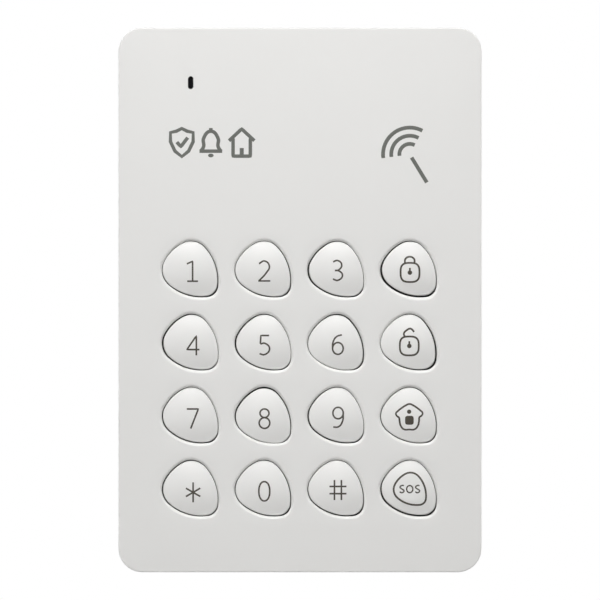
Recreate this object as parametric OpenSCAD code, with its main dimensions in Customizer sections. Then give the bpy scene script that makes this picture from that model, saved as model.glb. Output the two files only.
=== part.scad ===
// Wireless alarm keypad that hangs on a screwed-on wall bracket.
// X runs across the case and Z runs up. The wall is the plane y = 0 and the keys face -Y.
// The origin is the centre of the bracket's four screw holes, on its back face.
// Places called x, z or [x, z] inside the case are measured from the case's centre.

/* [Case] */
// Width of the case
case_w = 80; // [78:0.5:84]
// Height of the case
case_h = 120; // [118:0.5:126]
// Depth from the wall to the flat front
case_d = 20; // [20:0.1:22]
// Radius of the corners, seen from the front
corner_r = 5.3; // [4.5:0.1:6]
// Rounding of the front and back edges
edge_r = 0.9; // [0.4:0.1:1.4]
// Thickness of the side and front walls
wall_t = 2; // [1.8:0.1:2.2]
// Thickness of the back wall
back_t = 1.8; // [1.6:0.1:2]
// Air gap between the back of the case and the wall
wall_gap = 0.3; // [0.2:0.05:0.5]
// Distance from the wall to the line where the two covers meet
seam_at = 9.5; // [9:0.1:10]
// Height of the case's centre above the centre of the screw holes
case_up = 23; // [22.5:0.1:23.5]

/* [Keys] */
// Distance between key columns
key_pitch_x = 16.05; // [15.9:0.01:16.2]
// Distance between key rows
key_pitch_z = 16.1; // [16:0.01:16.3]
// Height of the middle of the key field, from the case's centre
key_field_z = -17.45; // [-18:0.05:-17]
// Slit between a key and its opening
key_gap = 0.3; // [0.2:0.05:0.4]
// How far a key can be pressed
key_travel = 1; // [0.6:0.1:1.2]
// How far the top of a key's crown stands proud of the front
key_rise = 0.7; // [0.4:0.1:1]
// Radius of the sphere that forms a key's crown
crown_r = 17; // [16:1:40]
// Wall thickness of a key cap
cap_t = 1.2; // [1:0.1:1.4]
// Width of the flange that keeps a key cap in
flange_w = 0.9; // [0.6:0.1:1]
// Thickness of that flange
flange_t = 0.85; // [0.6:0.05:1]
// Upper corner of the key outline: x, z and radius
corner_top = [0.07, 2.25, 4]; // [-6:0.01:6]
// Left corner of the key outline: x, z and radius
corner_left = [-2.12, -0.16, 4.17]; // [-6:0.01:6]
// Lower right corner of the key outline: x, z and radius
corner_low = [3.41, -3.45, 2.53]; // [-6:0.01:6]
// Radii of the bowed sides: upper left, lower and right
side_r = [9.63, 10.99, 11.06]; // [9:0.01:14]

/* [Keypad mat and board] */
// Thickness of the silicone sheet
mat_t = 1.2; // [1:0.1:1.3]
// Radius of a dome where it meets the sheet
dome_r = 4.7; // [4.4:0.1:5]
// Radius of the carbon pill under a dome
pill_r = 1.75; // [1.5:0.05:2]
// Thickness of the circuit board
board_t = 1.2; // [1:0.1:1.6]
// Distance from the wall to the front of the circuit board
board_at = 13.6; // [13.4:0.1:13.8]

/* [Battery] */
// Diameter of a AAA cell
cell_d = 10.5; // [10:0.1:10.5]
// Length of a AAA cell over its button
cell_l = 44.5; // [43.5:0.1:44.5]
// Distance between cell axes
cell_pitch = 10.8; // [10.6:0.05:10.85]
// Thickness of the bay's walls
bay_t = 1; // [0.8:0.1:1.2]

/* [Wall bracket] */
// Width of the bracket
bracket_w = 60; // [58:0.5:60]
// Height of the bracket
bracket_h = 52; // [50:0.5:52]
// Thickness of the bracket
bracket_t = 2.4; // [2.2:0.1:2.5]
// Screw hole spacing across
hole_dx = 44; // [40:0.5:46]
// Screw hole spacing up
hole_dz = 34; // [32:0.5:36]
// Radius of the screw holes
hole_r = 2.1; // [1.8:0.05:2.4]
// How far the case lifts before its windows clear the hooks
lift = 6; // [5:0.5:6]

/* [Hidden] */
$fn = 48;
KEYS = ["1", "2", "3", "arm", "4", "5", "6", "disarm",
        "7", "8", "9", "home", "star", "0", "hash", "sos"];

nick = 0.05;                 // smallest clearance between parts that rest on each other
over = 1;                    // how far a cut runs past the face that it opens

// Depths, as y, from front to back
front_y = -case_d;
front_in = front_y + wall_t;
crown_y = front_y - key_rise;
flange_y = front_in + 0.15;
flange_back = flange_y + flange_t;
board_y = -board_at;
board_back = board_y + board_t;
mat_y = board_y - mat_t;
boss_y = mat_y - 1.4;        // front of a dome, where the key's post pushes
boss_t = 1.1;
pill_y = boss_y + boss_t + nick / 2;
pill_back = board_y - key_travel - nick;
seam_y = -seam_at;
back_y = -wall_gap;
back_in = back_y - back_t;

// Key grid
columns = 4;
function key_x(i) = (i % columns - (columns - 1) / 2) * key_pitch_x;
function key_z(i) = key_field_z + ((columns - 1) / 2 - floor(i / columns)) * key_pitch_z;

// Case screws, board screws and their bosses
case_screw_at = [case_w / 2 - 5.8, case_h / 2 - 5.8];
case_boss_r = 3;
case_screw_r = 1.1;
case_head_r = 2;
case_head_y = -4;            // underside of the head
board_screw_r = 0.95;
board_boss_r = 2.2;
board_screws_at = [
    [-key_pitch_x, key_field_z + key_pitch_z], [key_pitch_x, key_field_z + key_pitch_z],
    [-key_pitch_x, key_field_z - key_pitch_z], [key_pitch_x, key_field_z - key_pitch_z],
    [-33.3, 24]];
slip = 0.02;                 // clearance round a screw in its pilot hole

// Indicator slot
lens_at = [-24.1, 47.9];
lens_w = 1.15;
lens_h = 2.8;
lens_fit = 0.03;

// Circuit board outline: a broad field with an arm up the left side
board_x = case_w / 2 - 3.7;
board_low = -case_h / 2 + 3.7;
board_top = 13.9;
arm_x = -22.9;
arm_top = 50.4;

// Battery bay and its sliding door
bay_x0 = -21.6;
bay_x1 = 28;
bay_z0 = 15.2;
bay_z1 = bay_z0 + 3 * cell_pitch + 0.2;
bay_floor = -13.3;
cell_y = bay_floor + 0.2 + cell_d / 2;
plate_t = 0.4;               // sheet metal of the contacts
door_x = 29.6;
door_z0 = 12.6;
door_t = 1.8;
door_y = back_y - door_t;
tongue_w = 1;
tongue_t = 0.8;
door_fit = 0.15;
case_top = case_h / 2;

// Bracket hooks and the windows that they pass through
pocket_y = -bracket_t - 0.4;
pocket_in = pocket_y - back_t;
pocket_fit = 0.5;
hook_x = 20.5;
hook_w = 6;
hook_neck = 3;
hook_tip = 4;
hook_t = 1.2;
hook_y = pocket_in - 0.3;    // back of the upright tip
hook_z = [3, -11];           // underside of each neck, from the bracket's centre

// Tamper switch and its plunger
tamper_z = -45;
plunger_r = 1.5;
collar_r = 2.6;
switch_h = 3.1;
button_y = board_back + switch_h + 0.5;
collar_y = pocket_in - nick;

// Reader coil, behind the printed tag sign
coil_at = [23.6, 31.1];
coil_w = 27;
coil_h = 34;

// ---- Outlines ----
function unit(v) = v / norm(v);
function angle(v) = atan2(v[1], v[0]);
function on_arc(c, r, a) = c + r * [cos(a), sin(a)];
function arc(c, r, a0, a1, n) = [for (i = [0:n]) on_arc(c, r, a0 + (a1 - a0) * i / n)];
function corner(c, r, a) = r > 0 ? arc(c, r, a, a + 90, 6) : [c];

// Rounded rectangle about the origin
function round_rect(w, h, r) = let (x = w / 2 - r, y = h / 2 - r) concat(
    corner([x, y], r, 0), corner([-x, y], r, 90), corner([-x, -y], r, 180), corner([x, -y], r, 270));

// Cross-section of a cover from depth y0 to y1, with rounded front and back edges
function section(w, y0, y1, r0, r1) = concat(
    corner([w / 2 - r1, y1 - r1], r1, 0), corner([r1 - w / 2, y1 - r1], r1, 90),
    corner([r0 - w / 2, y0 + r0], r0, 180), corner([w / 2 - r0, y0 + r0], r0, 270));

// The key outline is six arcs, each tangent to the next: three corners joined by three bowed sides.
// Arc centres stay put when the outline is grown, and only the radii change.
corners = [corner_top, corner_left, corner_low];
function corner_c(i) = [corners[i % 3][0], corners[i % 3][1]];
function side_c(i) = let (
    c1 = corner_c(i), c2 = corner_c(i + 1),
    a = side_r[i] - corners[i][2], b = side_r[i] - corners[(i + 1) % 3][2],
    d = norm(c2 - c1), u = (c2 - c1) / d, x = (a * a - b * b + d * d) / (2 * d))
    c1 + u * x + [-u[1], u[0]] * sqrt(a * a - x * x);
function past(a0, a1) = a1 < a0 ? a1 + 360 : a1;
function key_outline(grow) = [for (i = [0:2]) let (
    c = corner_c(i), o = side_c(i), before = angle(c - side_c((i + 2) % 3)), after = angle(c - o),
    next = angle(corner_c(i + 1) - o))
    each concat(
        arc(c, corners[i][2] + grow, before, past(before, after), 9),
        [for (k = [1:4]) on_arc(o, side_r[i] + grow, after + (past(after, next) - after) * k / 5)])];

// ---- Helpers ----
// A flat outline in x and z, given thickness from depth y0 back to y1
module slab(y0, y1) translate([0, y1, 0]) rotate([90, 0, 0]) linear_extrude(y1 - y0) children();
module block(x0, x1, y0, y1, z0, z1) translate([x0, y0, z0]) cube([x1 - x0, y1 - y0, z1 - z0]);
module rod(at, r, y0, y1) translate([at[0], y1, at[1]]) rotate([90, 0, 0]) cylinder(h = y1 - y0, r = r);
module taper(at, y0, r0, y1, r1)
    translate([at[0], y1, at[1]]) rotate([90, 0, 0]) cylinder(h = y1 - y0, r1 = r1, r2 = r0);
module in_case() translate([0, 0, case_up]) children();
module at(p) translate([p[0], 0, p[1]]) children();
module four(p) for (sx = [-1, 1], sz = [-1, 1]) at([sx * p[0], sz * p[1]]) children();

module rounded_case(y0, y1, r0, r1) intersection() {
    slab(y0, y1) polygon(round_rect(case_w, case_h, corner_r));
    linear_extrude(case_h + 2, center = true) polygon(section(case_w, y0, y1, r0, r1));
    rotate([0, -90, 0]) linear_extrude(case_w + 2, center = true)
        polygon(section(case_h, y0, y1, r0, r1));
}

module case_outline(inset) polygon(
    round_rect(case_w - 2 * inset, case_h - 2 * inset, corner_r - inset));

// A wire swept along points; ref is a direction that the path never follows
module wire(path, r, ref, sides = 6) {
    n = len(path);
    rings = [for (i = [0:n - 1]) let (
        t = unit(path[min(i + 1, n - 1)] - path[max(i - 1, 0)]), u = unit(cross(t, ref)), v = cross(t, u))
        each [for (s = [0:sides - 1]) path[i] + r * (cos(360 * s / sides) * u + sin(360 * s / sides) * v)]];
    walls = [for (i = [0:n - 2], s = [0:sides - 1]) let (
        a = i * sides + s, b = i * sides + (s + 1) % sides)
        each [[a, a + sides, b + sides], [a, b + sides, b]]];
    ends = [[for (s = [0:sides - 1]) s], [for (s = [sides - 1:-1:0]) (n - 1) * sides + s]];
    polyhedron(rings, concat(walls, ends));
}

// Points of a coil round Z that rises by its length
function coil(r, length, turns) = let (n = turns * 12)
    [for (i = [0:n]) [r * cos(30 * i), r * sin(30 * i), length * i / n]];

// ---- Keys ----
module key_blank() {
    difference() {
        union() {
            intersection() {
                slab(crown_y - over, flange_back) polygon(key_outline(-key_gap / 2));
                translate([0, crown_y + crown_r, 0]) sphere(crown_r);
            }
            slab(flange_y, flange_back) polygon(key_outline(flange_w));
        }
        slab(front_y + 1, flange_back + over) polygon(key_outline(-key_gap / 2 - cap_t));
    }
    rod([0, 0], 2.2, front_y + 0.5, boss_y - nick);
}

module key_cap(i) in_case() at([key_x(i), key_z(i)]) color([0.91, 0.91, 0.9]) key_blank();

// The emergency key has a shallow flat set into its crown
module sos_cap(i) in_case() at([key_x(i), key_z(i)]) color([0.91, 0.91, 0.9]) difference() {
    key_blank();
    slab(crown_y - over, crown_y + 0.28) polygon(key_outline(-2.4));
}

module pill(i) in_case() color([0.12, 0.12, 0.12]) rod([key_x(i), key_z(i)], pill_r, pill_y, pill_back);

// ---- Case ----
module front_cover() in_case() color([0.93, 0.93, 0.92]) difference() {
    union() {
        difference() {
            rounded_case(front_y, seam_y, edge_r, 0);
            slab(front_in, seam_y + over) case_outline(wall_t);
        }
        intersection() {
            four(case_screw_at) rod([0, 0], case_boss_r, front_in - 0.2, seam_y);
            slab(front_y + 0.5, seam_y) case_outline(1);
        }
        for (p = board_screws_at) rod(p, board_boss_r, front_in - 0.2, board_y);
    }
    for (i = [0:len(KEYS) - 1]) at([key_x(i), key_z(i)])
        slab(front_y - over, front_in + over) polygon(key_outline(key_gap / 2));
    at(lens_at) slab(front_y - over, front_in + over)
        polygon(round_rect(lens_w + 2 * lens_fit, lens_h + 2 * lens_fit, lens_w / 2));
    difference() {
        slab(seam_y - 1.7, seam_y + over) case_outline(wall_t / 2 - 0.05);
        four(case_screw_at) rod([0, 0], case_boss_r, seam_y - 2, seam_y + over);
    }
    four(case_screw_at) rod([0, 0], case_screw_r + slip, seam_y - 5, seam_y + over);
    for (p = board_screws_at) rod(p, board_screw_r + slip, board_y - 3.8, board_y + over);
}

module rear_cover() in_case() color([0.93, 0.93, 0.92]) difference() {
    union() {
        difference() {
            rounded_case(seam_y + nick, back_y, 0, edge_r);
            slab(seam_y - over, back_in) case_outline(wall_t);
        }
        difference() {
            slab(seam_y - 1.5, seam_y + 0.6) case_outline(wall_t / 2 + 0.05);
            slab(seam_y - 3, seam_y + over) case_outline(wall_t);
            four(case_screw_at) rod([0, 0], case_boss_r + 0.3, seam_y - 3, seam_y + nick);
        }
        intersection() {
            four(case_screw_at) rod([0, 0], case_boss_r + 0.2, seam_y + nick, back_y - 0.5);
            slab(seam_y, back_y) case_outline(1);
        }
        block(-bracket_w / 2 - 2.1, bracket_w / 2 + 2.1, pocket_in, back_in + 0.5,
              pocket_low - 1.6, pocket_top + 1.6);
        block(-door_x - 2.6, door_x + 2.6, door_y - 1.75, back_in + 0.5, door_z0 - 1.4, case_top - 1);
        block(bay_x0 - bay_t, bay_x1 + bay_t, bay_floor - bay_t, back_in + 0.5,
              bay_z0 - bay_t, bay_z1 + bay_t);
    }
    block(-bracket_w / 2 - pocket_fit, bracket_w / 2 + pocket_fit, pocket_y, over,
          pocket_low, pocket_top);
    for (z = hook_z, sx = [-1, 1]) hook_window(sx, z - case_up);
    rod([0, tamper_z], plunger_r + 0.05, pocket_in - over, pocket_y + over);
    block(-door_x - door_fit, door_x + door_fit, door_y - door_fit, over, door_z0 - door_fit,
          case_top + over);
    block(-door_x - tongue_w - door_fit, door_x + tongue_w + door_fit, door_y - door_fit,
          door_y + tongue_t + door_fit, door_z0 - door_fit, case_top + over);
    block(bay_x0, bay_x1, bay_floor, over, bay_z0, bay_z1);
    for (p = tails_at) block(p[0] - 0.4, p[0] + 0.4, bay_floor - bay_t - over, bay_floor + over,
                             p[1] - 1.4, p[1] + 1.4);
    four(case_screw_at) {
        rod([0, 0], case_head_r + 0.3, case_head_y, over);
        rod([0, 0], case_screw_r + 0.15, seam_y - over, case_head_y + over);
    }
}
pocket_top = bracket_h / 2 - case_up + pocket_fit;
pocket_low = -bracket_h / 2 - case_up - lift - 2 * pocket_fit;

module hook_window(side, z) block(
    side * hook_x - hook_w / 2 - 0.5, side * hook_x + hook_w / 2 + 0.5, pocket_in - over, pocket_y + over,
    z - lift - 0.5, z + hook_neck + nick);

module battery_door() in_case() color([0.93, 0.93, 0.92]) difference() {
    union() {
        block(-door_x, door_x, door_y, back_y, door_z0, case_top);
        block(-door_x - tongue_w, door_x + tongue_w, door_y, door_y + tongue_t, door_z0, case_top - edge_r);
    }
    for (i = [0:4]) translate([-9, back_y + 0.35, case_top - 6 - 1.8 * i]) rotate([0, 90, 0])
        cylinder(h = 18, r = 0.8);
}

// A dark window that leads the indicator's light through the front
module indicator_lens() in_case() at(lens_at) color([0.08, 0.08, 0.09]) {
    slab(front_y + nick, front_in + 0.3) polygon(round_rect(lens_w, lens_h, lens_w / 2 - 0.01));
    slab(front_in + lens_fit, front_in + 0.8) polygon(round_rect(lens_w + 1.8, lens_h + 1.8, 1.4));
    slab(front_in + 0.7, board_y - 1.6) polygon(round_rect(lens_w, lens_h, lens_w / 2 - 0.01));
}

// ---- Keypad mat ----
module dome() rotate([90, 0, 0]) rotate_extrude() polygon([
    [0, -boss_y], [2.3, -boss_y], [2.7, -boss_y - 0.7], [dome_r, -mat_y], [dome_r, -board_y],
    [dome_r - 0.5, -board_y], [dome_r - 0.5, -mat_y - 0.25], [2.5, -boss_y - boss_t + 0.1],
    [2.2, -boss_y - boss_t], [0, -boss_y - boss_t]]);

module keymat() in_case() color([0.82, 0.82, 0.8]) {
    difference() {
        translate([0, 0, key_field_z]) slab(mat_y, board_y)
            polygon(round_rect(4 * key_pitch_x + 0.8, 4 * key_pitch_z - 4.6, 2));
        for (i = [0:len(KEYS) - 1]) rod([key_x(i), key_z(i)], dome_r - 0.25, mat_y - over, board_y + over);
        for (p = board_screws_at) rod(p, board_boss_r + 0.4, mat_y - over, board_y + over);
    }
    for (i = [0:len(KEYS) - 1]) at([key_x(i), key_z(i)]) dome();
}

// ---- Circuit board ----
module main_board() in_case() color([0.1, 0.4, 0.25]) difference() {
    slab(board_y, board_back) polygon([
        [-board_x, board_low], [board_x, board_low], [board_x, board_top], [arm_x, board_top],
        [arm_x, arm_top], [-board_x, arm_top]]);
    four(case_screw_at) rod([0, 0], case_boss_r + 0.5, board_y - over, board_back + over);
    for (p = board_screws_at) rod(p, board_screw_r + 0.3, board_y - over, board_back + over);
    for (z = [board_low, 0]) block(-5, 5, board_y - over, board_back + over, z - 1.2, z + 0.8);
}

// A flat chip on the back of the board, with its pins along all four sides
module flat_chip(p, size, height, pins, pitch) at(p) {
    block(-size / 2, size / 2, board_back + nick, board_back + height, -size / 2, size / 2);
    for (turn = [0:90:270]) rotate([0, turn, 0]) for (k = [0:pins - 1])
        translate([(k - (pins - 1) / 2) * pitch, 0, size / 2 - 0.1])
            block(-pitch / 4, pitch / 4, board_back, board_back + 0.5, 0, 1.1);
}

module microcontroller() in_case() color([0.1, 0.1, 0.11]) flat_chip([-2, -18], 10, 1.4, 11, 0.8);

module reader_chip() in_case() color([0.1, 0.1, 0.11]) flat_chip([27, 4], 5, 0.9, 6, 0.65);

module radio_module() in_case() color([0.75, 0.76, 0.77]) {
    block(-34, -22, board_back, board_back + 0.8, -6, 12);
    difference() {
        block(-33, -23, board_back + 0.8, board_back + 3, -5, 8);
        for (x = [-30.5, -28, -25.5]) rod([x, 1.5], 0.5, board_back + 2, board_back + 4);
    }
}

module crystals() in_case() color([0.8, 0.8, 0.78])
    for (p = [[-2, -8], [27, -6]]) at(p) slab(board_back, board_back + 1.6)
        polygon(round_rect(6, 2.6, 1.2));

module small_components() in_case() color([0.62, 0.5, 0.38]) {
    for (i = [0:7]) chip_part([-12 + 2.6 * i, -27.5], 0.8);
    for (i = [0:5]) chip_part([-13, -12 - 2.4 * i], 0.5);
    for (i = [0:5]) chip_part([18 + 2.6 * i, 10.5], 0.7);
    for (i = [0:4]) chip_part([-33 + 2.6 * i, -12], 0.5);
    for (i = [0:4]) chip_part([14 + 2.6 * i, -42], 0.8);
}
module chip_part(p, height) at(p) block(-0.8, 0.8, board_back, board_back + height, -0.45, 0.45);

module electrolytic_capacitors() in_case() color([0.78, 0.79, 0.8])
    for (x = [13, 21]) {
        at([x, -50]) slab(board_back, board_back + 1) polygon(round_rect(6.6, 6.6, 0.6));
        rod([x, -50], 3.15, board_back + 0.9, board_back + 5.4);
    }

module buzzer() in_case() color([0.12, 0.12, 0.13]) difference() {
    rod([0, -34.5], 6, board_back, board_back + 6);
    rod([0, -34.5], 1, board_back + 4, board_back + 7);
}

module status_led() in_case() at(lens_at) color([0.95, 0.93, 0.8]) {
    block(-0.75, 0.75, board_y - 0.6, board_y, -1.5, 1.5);
    rod([0, 0], 0.6, board_y - 1.2, board_y - 0.5);
}

module reader_coil() in_case() at(coil_at) color([0.72, 0.4, 0.2]) difference() {
    slab(front_in + 0.1, front_in + 1.7) polygon(round_rect(coil_w, coil_h, 4));
    slab(front_in - over, front_in + 3) polygon(round_rect(coil_w - 6, coil_h - 6, 2));
}

module coil_leads() in_case() color([0.72, 0.4, 0.2])
    for (x = [-0.6, 0.6]) translate([key_pitch_x + x, 0, 0])
        wire([[0, front_in + 1.2, 13.9], [0, front_in + 1.7, 13.4], [0, board_y - 1.6, 13.1],
              [0, board_y - 0.4, 13]], 0.25, [1, 0, 0], 8);

module aerial() in_case() color([0.75, 0.45, 0.25]) translate([-27.2, board_back + 3.4, 17])
    wire(concat([[2.2, -3, -3.6], [2.2, -1.6, -1.2]], coil(2.2, 26, 16)), 0.35, [0, 0, 1]);

// ---- Tamper switch ----
module tamper_switch() in_case() color([0.15, 0.15, 0.16]) {
    at([0, tamper_z]) slab(board_back, board_back + switch_h) polygon(round_rect(6, 6, 0.4));
    rod([0, tamper_z], 1.7, board_back + switch_h - 0.1, button_y);
}

module tamper_plunger() in_case() color([0.9, 0.9, 0.89]) {
    rod([0, tamper_z], plunger_r, collar_y - 0.4, -bracket_t - nick);
    rod([0, tamper_z], collar_r, collar_y - 1, collar_y);
    rod([0, tamper_z], 1, collar_y - 2, collar_y - 0.9);
}

module tamper_spring() in_case() color([0.7, 0.7, 0.72])
    translate([0, collar_y - 1 - 0.25, tamper_z]) rotate([90, 0, 0])
        wire(coil(1.35, collar_y - 1 - button_y - 0.5, 4), 0.2, [0, 0, 1]);

// ---- Battery ----
function cell_z(k) = bay_z0 + 0.1 + cell_pitch * (k + 0.5);
left_face = bay_x0 + plate_t;        // inner face of the contacts on the left
right_face = bay_x1 - plate_t;
tails_at = [[bay_x0 + plate_t / 2, cell_z(0)], [bay_x1 - plate_t / 2, cell_z(2)]];

// The cells lie button left, right, left
module battery_cells() in_case() color([0.25, 0.3, 0.34])
    for (k = [0:2]) translate([k % 2 == 0 ? left_face + nick : right_face - nick, cell_y, cell_z(k)])
        rotate([0, k % 2 == 0 ? 90 : -90, 0]) {
            cylinder(h = 1.5, r = 1.9);
            difference() {
                translate([0, 0, 1]) cylinder(h = cell_l - 1, r = cell_d / 2);
                translate([0, 0, 0.5]) difference() {
                    cylinder(h = 0.9, r = 4.3);
                    cylinder(h = 3, r = 2.9, center = true);
                }
            }
        }

module battery_springs() in_case() color([0.78, 0.78, 0.76])
    for (k = [0:2]) translate([k % 2 == 0 ? right_face : left_face, cell_y, cell_z(k)])
        rotate([0, k % 2 == 0 ? -90 : 90, 0]) translate([0, 0, 0.35])
            wire(coil(2.9, right_face - left_face - cell_l - 0.8, 4), 0.28, [0, 0, 1]);

module battery_contacts() in_case() color([0.78, 0.78, 0.76]) {
    block(bay_x0, left_face, bay_floor + 0.7, -3.2, cell_z(0) - 4, cell_z(0) + 4);
    block(bay_x0, left_face, bay_floor + 0.7, -3.2, cell_z(1) - 4, cell_z(2) + 4);
    block(right_face, bay_x1, bay_floor + 0.7, -3.2, cell_z(0) - 4, cell_z(1) + 4);
    block(right_face, bay_x1, bay_floor + 0.7, -3.2, cell_z(2) - 4, cell_z(2) + 4);
    for (p = tails_at) block(p[0] - plate_t / 2, p[0] + plate_t / 2, bay_floor - 2, bay_floor + 0.8,
                             p[1] - 1, p[1] + 1);
}

// The leads run in front of the bay's floor, down to the top of the board
module battery_leads() in_case() color([0.6, 0.1, 0.1]) for (k = [0, 1]) {
    x = tails_at[k][0];
    inward = k == 0 ? 1 : -1;
    wire([[x, -15.1, tails_at[k][1] - 1.1], [x, -15.1, 17.5], [x + 0.3 * inward, -15, 15.6],
          [x + 0.7 * inward, -14.7, 14.2], [x + inward, -14.2, 13.2]], 0.5, [0, 1, 0], 8);
}

// ---- Fasteners ----
module pan_screw(p, r, head_r, head_t, head_y, tip_y) difference() {
    union() {
        rod(p, head_r, head_y, head_y + head_t);
        rod(p, r, tip_y + r, head_y + 0.1);
        taper(p, tip_y, 0.2, tip_y + r, r);
    }
    for (turn = [0, 90]) at(p) rotate([0, turn, 0])
        block(-head_r * 0.6, head_r * 0.6, head_y + head_t * 0.5, head_y + head_t + over, -0.25, 0.25);
}

module case_screws() in_case() color([0.6, 0.6, 0.62]) for (sx = [-1, 1], sz = [-1, 1])
    pan_screw([sx * case_screw_at[0], sz * case_screw_at[1]], case_screw_r, case_head_r, 1.4,
              case_head_y, seam_y - 4.8);

module board_screws() in_case() color([0.6, 0.6, 0.62]) for (p = board_screws_at)
    pan_screw(p, board_screw_r, 1.9, 1.2, board_back, board_y - 3.6);

// ---- Wall bracket ----
module wall_bracket() color([0.92, 0.92, 0.91]) difference() {
    union() {
        slab(-bracket_t, 0) polygon(round_rect(bracket_w, bracket_h, 4));
        for (z = hook_z, sx = [-1, 1]) hook(sx * hook_x, z);
    }
    four([hole_dx / 2, hole_dz / 2]) {
        rod([0, 0], hole_r, -bracket_t - over, over);
        taper([0, 0], -bracket_t, hole_r + 1.5, 1.5 - bracket_t, hole_r);
    }
}

// An upturned hook: a neck through the window and an upright tip inside the case
module hook(x, z) {
    block(x - hook_w / 2, x + hook_w / 2, hook_y - hook_t, -bracket_t + 0.5, z, z + hook_neck);
    block(x - hook_w / 2, x + hook_w / 2, hook_y - hook_t, hook_y, z, z + hook_neck + hook_tip);
}

key_cap(0);  // key_1
key_cap(1);  // key_2
key_cap(2);  // key_3
key_cap(3);  // key_arm
key_cap(4);  // key_4
key_cap(5);  // key_5
key_cap(6);  // key_6
key_cap(7);  // key_disarm
key_cap(8);  // key_7
key_cap(9);  // key_8
key_cap(10);  // key_9
key_cap(11);  // key_home
key_cap(12);  // key_star
key_cap(13);  // key_0
key_cap(14);  // key_hash
sos_cap(15);  // key_sos
pill(0);  // pill_1
pill(1);  // pill_2
pill(2);  // pill_3
pill(3);  // pill_arm
pill(4);  // pill_4
pill(5);  // pill_5
pill(6);  // pill_6
pill(7);  // pill_disarm
pill(8);  // pill_7
pill(9);  // pill_8
pill(10);  // pill_9
pill(11);  // pill_home
pill(12);  // pill_star
pill(13);  // pill_0
pill(14);  // pill_hash
pill(15);  // pill_sos
wall_bracket();
front_cover();
rear_cover();
battery_door();
indicator_lens();
keymat();
main_board();
microcontroller();
reader_chip();
radio_module();
crystals();
small_components();
electrolytic_capacitors();
buzzer();
status_led();
reader_coil();
coil_leads();
aerial();
tamper_switch();
tamper_plunger();
tamper_spring();
battery_cells();
battery_springs();
battery_contacts();
battery_leads();
case_screws();
board_screws();
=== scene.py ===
import math
import bmesh
import bpy
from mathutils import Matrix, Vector
from mathutils.kdtree import KDTree


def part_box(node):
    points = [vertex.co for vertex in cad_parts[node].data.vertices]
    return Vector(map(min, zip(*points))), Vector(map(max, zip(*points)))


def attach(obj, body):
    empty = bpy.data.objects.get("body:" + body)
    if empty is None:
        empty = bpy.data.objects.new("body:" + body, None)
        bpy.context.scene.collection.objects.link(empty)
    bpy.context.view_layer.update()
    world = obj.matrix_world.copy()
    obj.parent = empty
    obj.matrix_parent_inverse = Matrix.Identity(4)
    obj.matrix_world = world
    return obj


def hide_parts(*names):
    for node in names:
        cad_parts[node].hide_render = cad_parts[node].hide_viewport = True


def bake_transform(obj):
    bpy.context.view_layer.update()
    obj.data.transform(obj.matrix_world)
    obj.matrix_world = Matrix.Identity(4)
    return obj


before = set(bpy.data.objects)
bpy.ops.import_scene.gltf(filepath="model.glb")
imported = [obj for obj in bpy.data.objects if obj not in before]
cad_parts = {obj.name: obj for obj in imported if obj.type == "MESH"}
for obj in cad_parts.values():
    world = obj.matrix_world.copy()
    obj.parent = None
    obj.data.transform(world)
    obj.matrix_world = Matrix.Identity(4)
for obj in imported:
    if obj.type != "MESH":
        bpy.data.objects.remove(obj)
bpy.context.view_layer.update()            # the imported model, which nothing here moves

mm = 0.001
weldGap, wireWeldGap = 0.01, 0.004           # points closer than this become one, in mm
print("stage: frame loaded,", len(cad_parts), "nodes")

# ---------- places taken from the frame ----------
faceLow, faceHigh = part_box("front_cover")
frontY = faceLow.y                                   # the flat of the face
seamY = faceHigh.y                                   # where the two covers meet
caseW, caseH = faceHigh.x - faceLow.x, faceHigh.z - faceLow.z
caseZ = (faceLow.z + faceHigh.z) / 2
keyNames = ["1", "2", "3", "arm", "4", "5", "6", "disarm", "7", "8", "9", "home", "star", "0", "hash", "sos"]


def middle(node):
    low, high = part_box(node)
    return (low + high) / 2


def spotOf(node):            # x and z of a node's middle
    at = middle(node)
    return at.x, at.z


keyCentre = {k: middle("pill_" + k) for k in keyNames}
keySpot = {k: spotOf("pill_" + k) for k in keyNames}
pitchX = keyCentre["2"].x - keyCentre["1"].x
pitchZ = keyCentre["1"].z - keyCentre["4"].z


# ---------- small tools ----------
def clearPick():
    if bpy.context.object and bpy.context.object.mode != "OBJECT":
        bpy.ops.object.mode_set(mode="OBJECT")
    bpy.ops.object.select_all(action="DESELECT")


def pick(piece, *others):
    clearPick()
    for o in (piece, *others):
        o.select_set(True)
    bpy.context.view_layer.objects.active = piece


def openEdit(piece):
    pick(piece)
    bpy.ops.object.mode_set(mode="EDIT")
    bpy.ops.mesh.select_all(action="SELECT")


def closeEdit():
    bpy.ops.object.mode_set(mode="OBJECT")


def settle(piece):           # place goes into the mesh, and the object back to the origin
    pick(piece)
    bpy.ops.object.transform_apply(location=True, rotation=True, scale=True)


def mergeUp(piece, gap):     # gap in mm
    openEdit(piece)
    bpy.ops.mesh.remove_doubles(threshold=gap * mm)
    bpy.ops.mesh.normals_make_consistent(inside=False)
    closeEdit()


def useModifier(piece, kind, **values):
    pick(piece)
    mod = piece.modifiers.new(kind.title(), kind)
    for key, value in values.items():
        setattr(mod, key, value)
    bpy.ops.object.modifier_apply(modifier=mod.name)


def combine(piece, tool, how):                       # boolean with a tool that is then thrown away
    useModifier(piece, "BOOLEAN", object=tool, operation=how, solver="EXACT")
    bpy.data.objects.remove(tool)


def smooth(piece, degrees=35):
    pick(piece)
    bpy.ops.object.shade_smooth_by_angle(angle=math.radians(degrees))


def joinAll(name, pieces):
    pick(*pieces)
    if len(pieces) > 1:
        bpy.ops.object.join()
    bpy.context.object.name = name
    return bpy.context.object


def copyOf(piece, name, move=(0, 0, 0), widen=1.0):
    pick(piece)
    bpy.ops.object.duplicate()
    twin = bpy.context.object
    twin.name = name
    twin.location = Vector(move)
    twin.scale = (widen, 1, widen)
    settle(twin)
    return twin


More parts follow.
